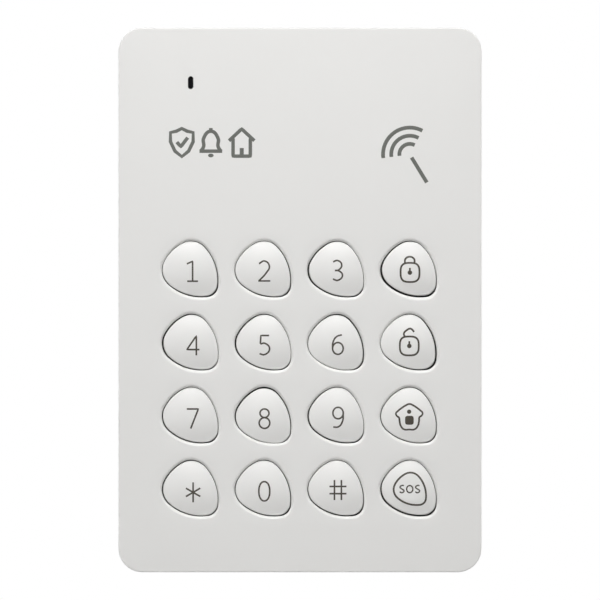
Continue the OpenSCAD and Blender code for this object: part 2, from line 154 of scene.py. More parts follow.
# A skin drawn over rings of equal count: the first is a circle reshaped, the rest are extruded from it
def skinRings(name, rings, capped=True, poke=False):
    clearPick()
    bpy.ops.mesh.primitive_circle_add(vertices=len(rings[0]), fill_type="NGON" if capped else "NOTHING")
    piece = bpy.context.object
    piece.name = name
    for vert, place in zip(piece.data.vertices, rings[0]):
        vert.co = place
    openEdit(piece)
    for last, ring in zip(rings, rings[1:]):
        bpy.ops.mesh.extrude_region_move()
        tree = KDTree(len(last))
        for i, place in enumerate(last):
            tree.insert(place, i)
        tree.balance()
        edit = bmesh.from_edit_mesh(piece.data)
        for vert in edit.verts:
            if vert.select:
                vert.co = ring[tree.find(vert.co)[1]]
        bmesh.update_edit_mesh(piece.data)
    if poke:
        bpy.ops.mesh.poke()
    bpy.ops.mesh.select_all(action="SELECT")
    bpy.ops.mesh.normals_make_consistent(inside=False)
    closeEdit()
    return piece


def circleRing(count, radius, centre, y):
    return [Vector((centre[0] + radius * math.cos(2 * math.pi * i / count), y,
                    centre[1] + radius * math.sin(2 * math.pi * i / count))) for i in range(count)]


def makeBox(name, low, high):
    clearPick()
    low, high = Vector(low), Vector(high)
    bpy.ops.mesh.primitive_cube_add(size=1, location=(low + high) / 2, scale=high - low)
    piece = bpy.context.object
    piece.name = name
    settle(piece)
    return piece


def rounding(share, across, deep):   # a quarter turn: how far in and how far down it is at a share of the way
    turn = math.pi / 2 * share
    return across * (1 - math.sin(turn)), deep * (1 - math.cos(turn))


# ---------- the key outline: six arcs, each tangent to the next ----------
keyLook = dict(
    corners=[(0.07, 2.25, 4.0), (-2.12, -0.16, 4.17), (3.41, -3.45, 2.53)],   # x, z, radius in mm
    sides=[9.63, 10.99, 11.06],      # bowed sides between the corners
    reach=6,                         # half a key's width, about
    perSide=24,                      # points along a quarter of the outline
    gap=0.20,                        # slit between key and opening
    rim=0.75,                        # rounding of the opening's rim
    rimSteps=7,
    crown=17.0,                      # radius of the domed top
    rise=0.61,
    crownRings=(0.05, 0.15, 0.25, 0.35, 0.45, 0.525, 0.575, 0.59, 0.605, 0.65, 0.725, 0.8, 0.875, 0.95),
    edge=0.42,                       # rounding of the crown's edge
    edgeSteps=5,
    wall=1.2,
    flange=0.9,
    flangeFront=1.85,                # depths behind the face
    flangeBack=2.7,
    underside=1.0,
    postRadius=2.2,
    postCore=0.4,                    # last ring on the post's flat end
    postEnd=3.75,
    sosFlat=0.24,                    # how far below the top of the crown the flat lies
)

# how far each key sits off the middle of its opening, and how much wider it is than usual, in mm
keySits = {
    "1": (-0.04, 0.09, 0.03), "2": (-0.04, 0.07, 0.04), "3": (0.12, 0.04, 0.0), "arm": (0.13, 0.13, -0.07),
    "4": (0.14, 0.0, 0.0), "5": (0.14, 0.0, 0.01), "6": (-0.07, -0.07, 0.02), "disarm": (-0.13, 0.07, 0.01),
    "7": (0.07, 0.07, 0.03), "8": (0.04, -0.13, 0.0), "9": (0.10, 0.06, 0.02), "home": (0.0, 0.03, 0.05),
    "star": (0.07, 0.0, 0.01), "0": (-0.01, 0.04, 0.03), "hash": (0.0, 0.09, 0.03), "sos": (0.07, 0.13, -0.02)}


def heading(v):
    return math.atan2(v[1], v[0])


def joinArcs(look):
    corners = [(Vector(c[:2]), c[2]) for c in look["corners"]]
    centres = []
    for i in range(3):
        (c1, r1), (c2, r2) = corners[i], corners[(i + 1) % 3]
        a, b, d = look["sides"][i] - r1, look["sides"][i] - r2, (c2 - c1).length
        u = (c2 - c1) / d
        x = (a * a - b * b + d * d) / (2 * d)
        centres.append(c1 + u * x + Vector((-u.y, u.x)) * math.sqrt(a * a - x * x))
    arcs = []
    for i in range(3):
        (c, r), after = corners[i], corners[(i + 1) % 3][0]
        arcs.append((c, r, heading(c - centres[i - 1]), heading(c - centres[i])))
        arcs.append((centres[i], look["sides"][i], heading(c - centres[i]), heading(after - centres[i])))
    return arcs


keyArcs = joinArcs(keyLook)
fullTurn = 2 * math.pi


def outlinePoint(angle, grow):       # where a ray from the key's centre meets the outline, in mm
    ray = Vector((math.cos(angle), math.sin(angle)))
    for centre, radius, start, end in keyArcs:
        along = ray.dot(centre)
        under = along * along - centre.length_squared + (radius + grow) ** 2
        if under < 0:
            continue
        point = ray * (along + math.sqrt(under))
        if (heading(point - centre) - start) % fullTurn <= (end - start) % fullTurn + 1e-6:
            return point
    raise ValueError("outline: no arc at this angle")


def squarePoints(halfX, halfZ, perSide):     # counter-clockwise from the lower right corner
    out = []
    for side in range(4):
        for i in range(perSide):
            f = 2 * i / perSide - 1
            out.append([(1, f), (-f, 1), (-1, -f), (f, -1)][side])
    return [Vector((x * halfX, z * halfZ)) for x, z in out]


cellSquare = squarePoints(pitchX / 2, pitchZ / 2, keyLook["perSide"])
keyAngles = [heading(p) for p in cellSquare]


def keyRing(grow, y, scale=1.0):     # y in metres, or a function of a point in mm
    out = []
    for angle in keyAngles:
        p = outlinePoint(angle, grow) * scale
        out.append(Vector((p.x * mm, y(p) if callable(y) else y, p.y * mm)))
    return out


def crownY(p):                       # height of the domed top over a point in mm, as y in metres
    r = keyLook["crown"]
    return frontY + (r - keyLook["rise"] - math.sqrt(r * r - p.length_squared)) * mm


def sosY(p):
    return max(crownY(p), frontY + (keyLook["sosFlat"] - keyLook["rise"]) * mm)


# ---------- key caps ----------
def makeKeyBlank(name, top):
    k = keyLook
    fit = -k["gap"] / 2
    rings = [keyRing(fit - k["edge"], top, share) for share in k["crownRings"]]
    for i in range(k["edgeSteps"] + 1):
        turn = math.pi / 2 * i / k["edgeSteps"]
        ring = []
        for angle in keyAngles:
            inner, outer = outlinePoint(angle, fit - k["edge"]), outlinePoint(angle, fit)
            p = inner.lerp(outer, math.sin(turn))
            ring.append(Vector((p.x * mm, top(inner) + k["edge"] * (1 - math.cos(turn)) * mm, p.y * mm)))
        rings.append(ring)
    inner = fit - k["wall"]
    for grow, depth in ((fit, "flangeFront"), (k["flange"], "flangeFront"), (k["flange"], "flangeBack"),
                        (inner, "flangeBack"), (inner, "underside")):
        rings.append(keyRing(grow, frontY + k[depth] * mm))
    for radius, depth in ((k["postRadius"], "underside"), (k["postRadius"], "postEnd"), (k["postCore"], "postEnd")):
        rings.append([Vector((radius * math.cos(a) * mm, frontY + k[depth] * mm, radius * math.sin(a) * mm))
                      for a in keyAngles])
    piece = skinRings(name, rings, poke=True)
    smooth(piece, 32)
    return piece


def makeKeys():
    plain = makeKeyBlank("keyBlank", crownY)
    dished = makeKeyBlank("sosBlank", sosY)
    made = {}
    for k in keyNames:
        across, up, wider = keySits[k]
        spot = (keySpot[k][0] + across * mm, 0, keySpot[k][1] + up * mm)
        made[k] = copyOf(dished if k == "sos" else plain, "keyCap_" + k, spot, 1 + wider / keyLook["reach"])
    for blank in (plain, dished):
        bpy.data.objects.remove(blank)
    print("stage: key caps modelled")
    return made


# ---------- front cover ----------
frontLook = dict(
    wall=2.0,            # side and front walls
    corner=5.3,          # corners seen from the front
    edge=0.36,           # how far the front edge's rounding reaches in
    edgeDeep=0.15,       # and how deep it goes, before the side drops away
    edgeSteps=6,
    cornerSteps=16,      # points in half a corner
    slotFit=0.06,
    lip=0.12,            # tiny rounding where the side meets the seam
    tongue=0.95,         # depth of the rebate behind the seam's lip
    tongueDeep=1.7,
)


def roundedRing(inset, y):           # rounded rectangle with as many points as the key field's edge
    look = frontLook
    w, h, r = caseW / mm - 2 * inset, caseH / mm - 2 * inset, max(look["corner"] - inset, 0.3)
    per, bend = 4 * keyLook["perSide"], look["cornerSteps"]          # points on a side, and in half a corner
    out = []
    for side, (halfLong, halfWide) in enumerate([(h / 2, w / 2), (w / 2, h / 2)] * 2):
        for i in range(per):
            if i < bend:
                a = math.radians(-45 + 45 * i / bend)
                u, v = -(halfLong - r) + r * math.sin(a), halfWide - r + r * math.cos(a)
            elif i > per - bend:
                a = math.radians(45 * (i - per + bend) / bend)
                u, v = halfLong - r + r * math.sin(a), halfWide - r + r * math.cos(a)
            else:
                u, v = (halfLong - r) * (2 * (i - bend) / (per - 2 * bend) - 1), halfWide
            x, z = [(v, u), (-u, v), (-v, -u), (u, -v)][side]
            out.append(Vector((x * mm, y, caseZ + z * mm)))
    return out


def fieldRing(y):                    # outer edge of the sixteen cells
    mid = (keyCentre["1"] + keyCentre["sos"]) / 2
    points = squarePoints(2 * pitchX, 2 * pitchZ, 4 * keyLook["perSide"])
    return [Vector((mid.x + p.x, y, mid.z + p.y)) for p in points]


def cellRing(y):
    return [Vector((p.x, y, p.y)) for p in cellSquare]


def makeFrontCover():
    k, f = keyLook, frontLook
    inside = frontY + f["wall"] * mm
    hole = k["gap"] / 2
    rings = [cellRing(frontY), keyRing(hole + k["rim"], frontY)]
    for i in range(1, k["rimSteps"] + 1):
        over, deep = rounding(i / k["rimSteps"], k["rim"], k["rim"])
        rings.append(keyRing(hole + over, frontY + deep * mm))
    rings += [keyRing(hole, inside), cellRing(inside)]
    cell = skinRings("openingCell", rings, capped=False)
    cells = [copyOf(cell, "cell_" + n, (keySpot[n][0], 0, keySpot[n][1])) for n in keyNames]
    bpy.data.objects.remove(cell)

    rings = [fieldRing(frontY), roundedRing(f["edge"], frontY)]
    for i in range(1, f["edgeSteps"] + 1):
        over, deep = rounding(i / f["edgeSteps"], f["edge"], f["edgeDeep"])
        rings.append(roundedRing(over, frontY + deep * mm))
    lip, tongueEnd = f["lip"], seamY - f["tongueDeep"] * mm
    rings += [roundedRing(inset, y) for inset, y in (
        (0, frontY + (f["edgeDeep"] + lip) * mm), (0, seamY - 2 * lip * mm), (0, seamY - lip * mm), (lip, seamY),
        (f["tongue"], seamY), (f["tongue"], tongueEnd), (f["wall"], tongueEnd), (f["wall"], inside))]
    rings.append(fieldRing(inside))
    surround = skinRings("coverRing", rings, capped=False)
    cover = joinAll("frontCover", [surround] + cells)
    mergeUp(cover, weldGap)

    width, height = (lensLook[side] + f["slotFit"] for side in ("width", "height"))
    slot = skinRings("slotCutter", [capsuleRing(spotOf("indicator_lens"), width, height, y)
                                    for y in (frontY - mm, inside + mm)])
    combine(cover, slot, "DIFFERENCE")
    for spot in bossSpots():
        combine(cover, spot, "UNION")
    smooth(cover, 30)
    print("stage: front cover modelled,", len(cover.data.polygons), "faces")
    return cover


# bosses that take the board screws and the case screws, each a tube on the inner face
bossLook = dict(board=2.2, case=3.0, bore=1.12, boardBore=0.97, boreDeep=4.4, rooted=0.3, edge=0.1, around=40)


def bossSpots():
    b = bossLook
    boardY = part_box("main_board")[0].y
    made = [makeBoss(at, b["board"], b["boardBore"], boardY) for at in looseParts("board_screws")]
    return made + [makeBoss(at, b["case"], b["bore"], seamY) for at in looseParts("case_screws")]


def makeBoss(at, radius, bore, end):
    b = bossLook
    root = frontY + (frontLook["wall"] - b["rooted"]) * mm
    edge, deep = b["edge"] * mm, end - b["boreDeep"] * mm
    profile = ((radius, root), (radius, end - edge), (radius - b["edge"], end), (bore, end), (bore, deep),
               (b["edge"], deep - 0.3 * mm))          # the bore ends in a point
    return skinRings("boss", [circleRing(b["around"], size * mm, at, y) for size, y in profile])


widestPart = 4.5         # no screw is wider than this, and none is nearer to another, in mm


def looseParts(node):                # x and z of the middle of each separate solid in a CAD node
    spots = []
    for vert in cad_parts[node].data.vertices:
        x, z = vert.co.x, vert.co.z
        for spot in spots:
            if math.hypot(spot[0] - x, spot[1] - z) < widestPart * mm:
                spot[2].append((x, z))
                break
        else:
            spots.append([x, z, [(x, z)]])
    out = []
    for spot in spots:
        xs, zs = [p[0] for p in spot[2]], [p[1] for p in spot[2]]
        out.append(((min(xs) + max(xs)) / 2, (min(zs) + max(zs)) / 2))
    return out


# ---------- indicator lens ----------
lensLook = dict(
    width=1.15, height=2.8,
    sunk=0.45,           # behind the face
    crown=0.06, crownRings=(0.15, 0.4, 0.65, 0.85), crownEdge=0.08,
    flange=0.9, flangeGap=0.05, flangeBack=0.8,      # the flange behind the cover's wall
    around=40,
)


def capsuleRing(at, w, h, y, grow=0.0):
    r = w / 2 + grow
    straight = (h - w) / 2
    out = []
    for i in range(lensLook["around"]):
        a = fullTurn * (i + 0.5) / lensLook["around"]
        z = r * math.sin(a) + (straight if math.sin(a) > 0 else -straight)
        out.append(Vector((at[0] + r * math.cos(a) * mm, y, at[1] + z * mm)))
    return out


def makeLens():
    w = lensLook
    at = spotOf("indicator_lens")
    top = frontY + w["sunk"] * mm
    inside = frontY + frontLook["wall"] * mm
    flangeY, far = inside + w["flangeGap"] * mm, inside + w["flangeBack"] * mm
    profile = [(top - w["crown"] * mm * (1 - s * s), -w["width"] / 2 * (1 - s)) for s in w["crownRings"]]
    profile += [(top + w["crownEdge"] * mm, 0), (flangeY, 0), (flangeY, w["flange"]), (far, w["flange"]), (far, 0),
                (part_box("indicator_lens")[1].y, 0)]
    lens = skinRings("lens", [capsuleRing(at, w["width"], w["height"], y, grow) for y, grow in profile])
    smooth(lens, 40)
    return lens


# ---------- helpers for the rear pieces ----------
def rectRing(x0, x1, z0, z1, radius, y, grow=0.0, bend=6):       # rounded rectangle, all in mm
    x0, x1, z0, z1, r = x0 - grow, x1 + grow, z0 - grow, z1 + grow, max(radius + grow, 0.05)
    out = []
    for cx, cz, start in ((x1 - r, z0 + r, -90), (x1 - r, z1 - r, 0), (x0 + r, z1 - r, 90), (x0 + r, z0 + r, 180)):
        for i in range(bend + 1):
            a = math.radians(start + 90 * i / bend)
            out.append(Vector(((cx + r * math.cos(a)) * mm, y * mm, (cz + r * math.sin(a)) * mm)))
    return out


def roundedMouth(ringAt, deep, mouth, flare, steps=4):   # a cutter whose mouth leaves a rounded rim
    rings = [ringAt(deep, 0.0)]
    for i in range(steps + 1):
        down, out = rounding(i / steps, flare, flare)
        rings.append(ringAt(mouth - down, out))
    rings.append(ringAt(mouth + 1.0, flare))
    return rings


def pocketTool(x0, x1, z0, z1, radius, deep, mouth, flare=0.3):
    return skinRings("pocketTool", roundedMouth(
        lambda y, g: rectRing(x0, x1, z0, z1, radius, y, g), deep, mouth, flare))


roundCount = 40                      # points round a bore or a plug


def boreTool(at, radius, deep, mouth, flare=0.25):
    return skinRings("boreTool", roundedMouth(
        lambda y, g: circleRing(roundCount, (radius + g) * mm, at, y * mm), deep, mouth, flare))


def plug(at, radius, y0, y1):
    return skinRings("plug", [circleRing(roundCount, radius * mm, at, y * mm) for y in (y0, y1)])


def edgesWhere(piece, test):         # leaves selected only the edges whose two ends pass the test
    openEdit(piece)
    bpy.ops.mesh.select_all(action="DESELECT")
    bpy.ops.mesh.select_mode(type="EDGE")
    edit = bmesh.from_edit_mesh(piece.data)
    for edge in edit.edges:
        edge.select = all(test(v.co / mm) for v in edge.verts)
    edit.select_flush_mode()
    bmesh.update_edit_mesh(piece.data)


def bevelWhere(piece, test, width, segments=3):
    edgesWhere(piece, test)
    bpy.ops.mesh.bevel(offset=width * mm, segments=segments, profile=0.5, affect="EDGES")
    closeEdit()


def near(value, target):
    return abs(value - target) < 0.02


# ---------- wall bracket ----------
bracketLook = dict(
    corner=4.0, edge=0.35, edgeSteps=3,
    hole=2.1, sink=3.6, sinkDeep=1.5,
    hookWide=6.0, hookThick=1.2, neck=3.0, hookTall=7.0,
)


def makeBracket():
    b = bracketLook
    low, high = (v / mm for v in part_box("wall_bracket"))
    plateY = -2.4
    spots = [(sx * 22.0, sz * 17.0) for sx in (-1, 1) for sz in (-1, 1)]
    rings = []
    for side in (1, -1):             # back edge first, then the front edge
        for i in range(b["edgeSteps"] + 1):
            turn = math.pi / 2 * (i if side > 0 else b["edgeSteps"] - i) / b["edgeSteps"]
            inset, lift = b["edge"] * (1 - math.sin(turn)), b["edge"] * (1 - math.cos(turn))
            y = -lift if side > 0 else plateY + lift
            rings.append(rectRing(low.x, high.x, low.z, high.z, b["corner"], y, -inset, 10))
    bracket = skinRings("wallBracket", rings)
    for z in (3.0, -11.0):
        for x in (-20.5, 20.5):
            half = b["hookWide"] / 2
            neck = makeBox("neck", (Vector((x - half, low.y, z)) * mm), (Vector((x + half, -1.9, z + b["neck"])) * mm))
            tip = makeBox("tip", (Vector((x - half, low.y, z)) * mm),
                          (Vector((x + half, low.y + b["hookThick"], z + b["hookTall"])) * mm))
            combine(neck, tip, "UNION")
            bevelWhere(neck, lambda p: near(p.z, z + b["hookTall"]) or near(p.y, low.y), 0.3)
            combine(bracket, neck, "UNION")
    for at in spots:
        place = (at[0] * mm, at[1] * mm)
        rings = [circleRing(48, r * mm, place, y * mm) for r, y in
                 ((b["hole"] + 0.2, 1.0), (b["hole"] + 0.2, 0.0), (b["hole"], -0.2),
                  (b["hole"], plateY + b["sinkDeep"]),
                  (b["sink"], plateY + 0.02), (b["sink"] + 0.15, plateY), (b["sink"] + 0.15, plateY - 1))]
        combine(bracket, skinRings("screwHole", rings), "DIFFERENCE")
    smooth(bracket, 32)
    print("stage: wall bracket modelled")
    return bracket


# ---------- rear cover ----------
rearLook = dict(
    edge=0.9, edgeSteps=5, wall=2.0, backWall=1.8, rim=0.3,
    tongueOut=1.05, tongueTall=1.5, seamGap=0.05, seamLip=0.12,
    boss=3.2, headBore=2.3, shankBore=1.25, headSeat=-4.0,
    pocketY=-2.8, pocketWall=1.8, pocketSides=1.6, pocketFit=0.5,
    pocketDrop=7.0,                          # room under the bracket, so that the case can lift off
    windowsX=20.5, windowsZ=(3.0, -11.0), windowHalf=3.5, windowDrop=6.5, windowRise=3.05,
    plungerBore=1.55, doorSides=2.6, doorUnder=1.4,
    doorGap=0.15, tongueWide=1.0, tongueThick=0.8,
    bay=(-21.6, 28.0, 15.2, 47.8), bayFloor=-13.3, bayWall=1.0,   # z from the case's middle
)


def makeRearCover():
    r = rearLook
    up = caseZ / mm
    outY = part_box("rear_cover")[1].y / mm
    inY = outY - r["backWall"]
    top = up + caseH / mm / 2
    seam = seamY / mm
    rings = []
    for i in range(r["edgeSteps"] + 1):
        over, deep = rounding(i / r["edgeSteps"], r["edge"], r["edge"])
        rings.append(roundedRing(over, (outY - deep) * mm))
    for inset, y in ((0, seam + r["seamGap"] + r["seamLip"]), (r["seamLip"], seam + r["seamGap"]),
                     (r["tongueOut"], seam + r["seamGap"]), (r["tongueOut"], seam - r["tongueTall"]),
                     (r["wall"], seam - r["tongueTall"]), (r["wall"], inY)):
        rings.append(roundedRing(inset, y * mm))
    cover = skinRings("rearCover", rings)

    bracketLow, bracketHigh = (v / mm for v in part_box("wall_bracket"))
    fit, side, pocketFloor = r["pocketFit"], r["pocketSides"], r["pocketY"] - r["pocketWall"]
    pocket = (bracketLow.x - fit, bracketHigh.x + fit, bracketLow.z - r["pocketDrop"], bracketHigh.z + fit)
    doorLow, doorHigh = (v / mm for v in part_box("battery_door"))
    doorX, doorZ = doorHigh.x - r["tongueWide"], doorLow.z
    x0, x1, z0, z1 = r["bay"]
    z0, z1 = z0 + up, z1 + up
    t = r["bayWall"]
    wide, under = doorX + r["doorSides"], doorZ - r["doorUnder"]
    for low, high in (((pocket[0] - side, pocketFloor, pocket[2] - side),
                       (pocket[1] + side, outY - 1.3, pocket[3] + side)),
                      ((-wide, doorLow.y - 1.75, under), (wide, outY - 1.25, top - 1)),
                      ((x0 - t, r["bayFloor"] - t, z0 - t), (x1 + t, outY - 1.2, z1 + t))):
        combine(cover, makeBox("innerWall", Vector(low) * mm, Vector(high) * mm), "UNION")
    screws = looseParts("case_screws")
    for at in screws:
        combine(cover, plug(at, r["boss"], seam + r["seamGap"], outY - 0.5), "UNION")

    tools = [pocketTool(*pocket, 1.0, r["pocketY"], outY, r["rim"]),
             pocketTool(x0, x1, z0, z1, 0.5, r["bayFloor"], outY, 0.02)]
    g, w = r["doorGap"], r["tongueWide"]
    tools.append(makeBox("doorWay", Vector((-doorX - g, doorLow.y - g, doorZ - g)) * mm,
                         Vector((doorX + g, 1, top + 1)) * mm))
    tools.append(makeBox("channel", Vector((-doorX - w - g, doorLow.y - g, doorZ - g)) * mm,
                         Vector((doorX + w + g, doorLow.y + r["tongueThick"] + g, top + 1)) * mm))
    for z in r["windowsZ"]:          # the four windows for the bracket's hooks
        for x in (-r["windowsX"], r["windowsX"]):
            tools.append(pocketTool(x - r["windowHalf"], x + r["windowHalf"], z - r["windowDrop"], z + r["windowRise"],
                                    0.4, pocketFloor - 1, r["pocketY"], 0.2))
    tools.append(boreTool(spotOf("tamper_plunger"), r["plungerBore"], pocketFloor - 1, r["pocketY"], 0.2))
    for at in screws:
        tools.append(boreTool(at, r["headBore"], r["headSeat"], outY))
        tools.append(plug(at, r["shankBore"], seam - 1, r["headSeat"] + 1))
    for tool in tools:
        combine(cover, tool, "DIFFERENCE")
    smooth(cover, 30)
    print("stage: rear cover modelled,", len(cover.data.polygons), "faces")
    return cover


# ---------- battery door ----------
doorLook = dict(
    topEdge=0.85, edge=0.22,
    tongueWide=1.0, tongueThick=0.8, tongueShort=0.9,    # the tongues that run in the rear cover's channel
    grooves=5, grooveTop=6, grooveStep=1.8, grooveLong=18.0, grooveRadius=0.8, grooveProud=0.35,
    arrow=((0, 0.9), (-2.6, -3.5), (2.6, -3.5)), arrowTop=18, arrowDeep=0.3,   # points the way that it slides open
)


def makeDoor():
    d = doorLook
    low, high = (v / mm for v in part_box("battery_door"))
    x = high.x - d["tongueWide"]
    door = makeBox("batteryDoor", Vector((-x, low.y, low.z)) * mm, Vector((x, high.y, high.z)) * mm)
    bevelWhere(door, lambda p: near(p.y, high.y) and near(p.z, high.z), d["topEdge"], 6)
    bevelWhere(door, lambda p: near(p.y, high.y), d["edge"], 3)
    tongue = makeBox("tongue", Vector((-high.x, low.y, low.z)) * mm,
                     Vector((high.x, low.y + d["tongueThick"], high.z - d["tongueShort"])) * mm)
    bevelWhere(tongue, lambda p: near(p.y, low.y + d["tongueThick"]), 0.12, 2)
    combine(door, tongue, "UNION")
    half = d["grooveLong"] / 2 - d["grooveRadius"]
    for i in range(d["grooves"]):
        z = high.z - d["grooveTop"] - d["grooveStep"] * i
        rings = []
        for turn in (85, 70, 52, 35, 20, 8, 0):      # rounded bottom, narrow at the deepest
            r = d["grooveRadius"] * math.cos(math.radians(turn))
            y = high.y + d["grooveProud"] - d["grooveRadius"] * math.sin(math.radians(turn))
            rings.append(rectRing(-half, half, z, z, 0.0, y, r, 8))
        combine(door, skinRings("groove", rings), "DIFFERENCE")
    z = high.z - d["arrowTop"]
    rings = [[Vector((px * s * mm, y * mm, (z + pz * s) * mm)) for px, pz in d["arrow"]]
             for s, y in ((0.86, high.y - d["arrowDeep"]), (1.0, high.y - 0.05), (1.0, high.y + 1))]
    combine(door, skinRings("arrow", rings), "DIFFERENCE")
    smooth(door, 30)
    print("stage: battery door modelled")
    return door


# ---------- case screws ----------
screwLook = dict(head=2.0, shank=1.1, headTop=-2.6, seat=-4.0, cross=(0.46, 2.3), crossDeep=0.75)


def makeScrews():
    c = screwLook
    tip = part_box("case_screws")[0].y / mm
    profile = [(0.25, c["headTop"]), (0.8, c["headTop"] - 0.04), (1.3, c["headTop"] - 0.14),
               (1.65, c["headTop"] - 0.32),
               (1.88, c["headTop"] - 0.62), (c["head"], c["headTop"] - 1.0), (c["head"], c["seat"] + 0.08),
               (c["head"] - 0.08, c["seat"]), (c["shank"] + 0.05, c["seat"]), (c["shank"], c["seat"] - 0.1)]
    y = c["seat"] - 0.7
    while y > tip + 1.6:             # ridges of the thread
        profile += [(c["shank"] - 0.22, y), (c["shank"] - 0.22, y - 0.12), (c["shank"], y - 0.35),
                    (c["shank"] - 0.02, y - 0.42)]
        y -= 0.75
    profile += [(c["shank"] - 0.3, tip + 1.0), (0.15, tip + 0.05)]
    blank = skinRings("screwBlank", [circleRing(32, r * mm, (0, 0), y * mm) for r, y in profile])
    thin, long = c["cross"][0] / 2, c["cross"][1] / 2
    for x, z in ((thin, long), (long, thin)):
        slot = makeBox("crossSlot", Vector((-x, c["headTop"] - c["crossDeep"], -z)) * mm, Vector((x, 0, z)) * mm)
        combine(blank, slot, "DIFFERENCE")
    made = [copyOf(blank, "screw", (at[0], 0, at[1])) for at in looseParts("case_screws")]
    bpy.data.objects.remove(blank)
    screws = joinAll("caseScrews", made)
    smooth(screws, 35)
    return screws


# ---------- battery cells ----------
cellLook = dict(radius=5.25, pitch=10.8, button=1.9, band=13.0)   # the band is the coloured end by the button


def makeCells():                     # jackets and bare metal ends, each lying along x
    c = cellLook
    low, high = (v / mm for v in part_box("battery_cells"))
    y = (low.y + high.y) / 2
    jackets, ends = [], []
    r, n = c["radius"], 48

    def lathe(name, profile):        # drawn along y from the button, then turned along x
        return skinRings(name, [circleRing(n, q * mm, (0, 0), d * mm) for q, d in profile])

    jacket = lathe("jacket", [(4.35, 1.42), (4.55, 1.16), (4.9, 1.05), (r - 0.1, 1.2), (r, 1.5), (r, c["band"]),
                              (r, 43.9),
                              (r - 0.12, 44.25), (4.9, 44.38), (4.6, 44.3), (4.5, 44.1)])
    caps = [lathe("button", [(0.3, 0.06), (1.5, 0.06), (c["button"] - 0.12, 0.14), (c["button"], 0.35),
                             (c["button"], 1.0),
                             (2.3, 1.15), (4.0, 1.2), (4.6, 1.35), (4.6, 2.4)]),
            lathe("base", [(0.3, 44.42), (3.0, 44.42), (3.6, 44.3), (4.3, 44.25), (4.55, 44.05), (4.55, 43.0)])]
    for k in range(3):
        z = low.z + r + c["pitch"] * k
        flip = 1 if k % 2 == 0 else -1
        place = Vector((low.x if flip > 0 else high.x, y, z)) * mm
        for source, store in ((jacket, jackets), (caps[0], ends), (caps[1], ends)):
            pick(source)
            bpy.ops.object.duplicate()
            twin = bpy.context.object
            twin.rotation_euler = (0, 0, -flip * math.pi / 2)
            twin.location = place
            settle(twin)
            store.append(twin)
    for o in (jacket, *caps):
        bpy.data.objects.remove(o)
    made = joinAll("cellJackets", jackets), joinAll("cellEnds", ends)
    for piece in made:
        smooth(piece, 40)
    print("stage: battery cells modelled")
    return made


# ---------- printed legends ----------
inkLook = dict(
    stroke=0.37,         # line width on the digits
    iconStroke=0.41,
    rowStroke=0.78,      # the row of small signs
    signStroke=0.84,     # the big signs on the face
    rise=0.03,           # how proud the ink stands
)


def oval(cx, cz, rx, rz, power=2.0, count=40):       # power above 2 gives a squarish loop
    out = []
    for i in range(count):
        a = fullTurn * i / count
        c, s = math.cos(a), math.sin(a)
        out.append((cx + rx * math.copysign(abs(c) ** (2 / power), c),
                    cz + rz * math.copysign(abs(s) ** (2 / power), s)))
    return out


def arch(cx, z0, rx, rz, drop):      # a shackle: leg, half turn, leg
    turn = [(cx - rx * math.cos(math.pi * i / 12), z0 + rz * math.sin(math.pi * i / 12)) for i in range(13)]
    return [(cx - rx, z0 - drop)] + turn + [(cx + rx, z0 - drop)]


def keyLoop(scale, dx, dz):
    return [(outlinePoint(a, 0).x * scale + dx, outlinePoint(a, 0).y * scale + dz) for a in keyAngles[::2]]


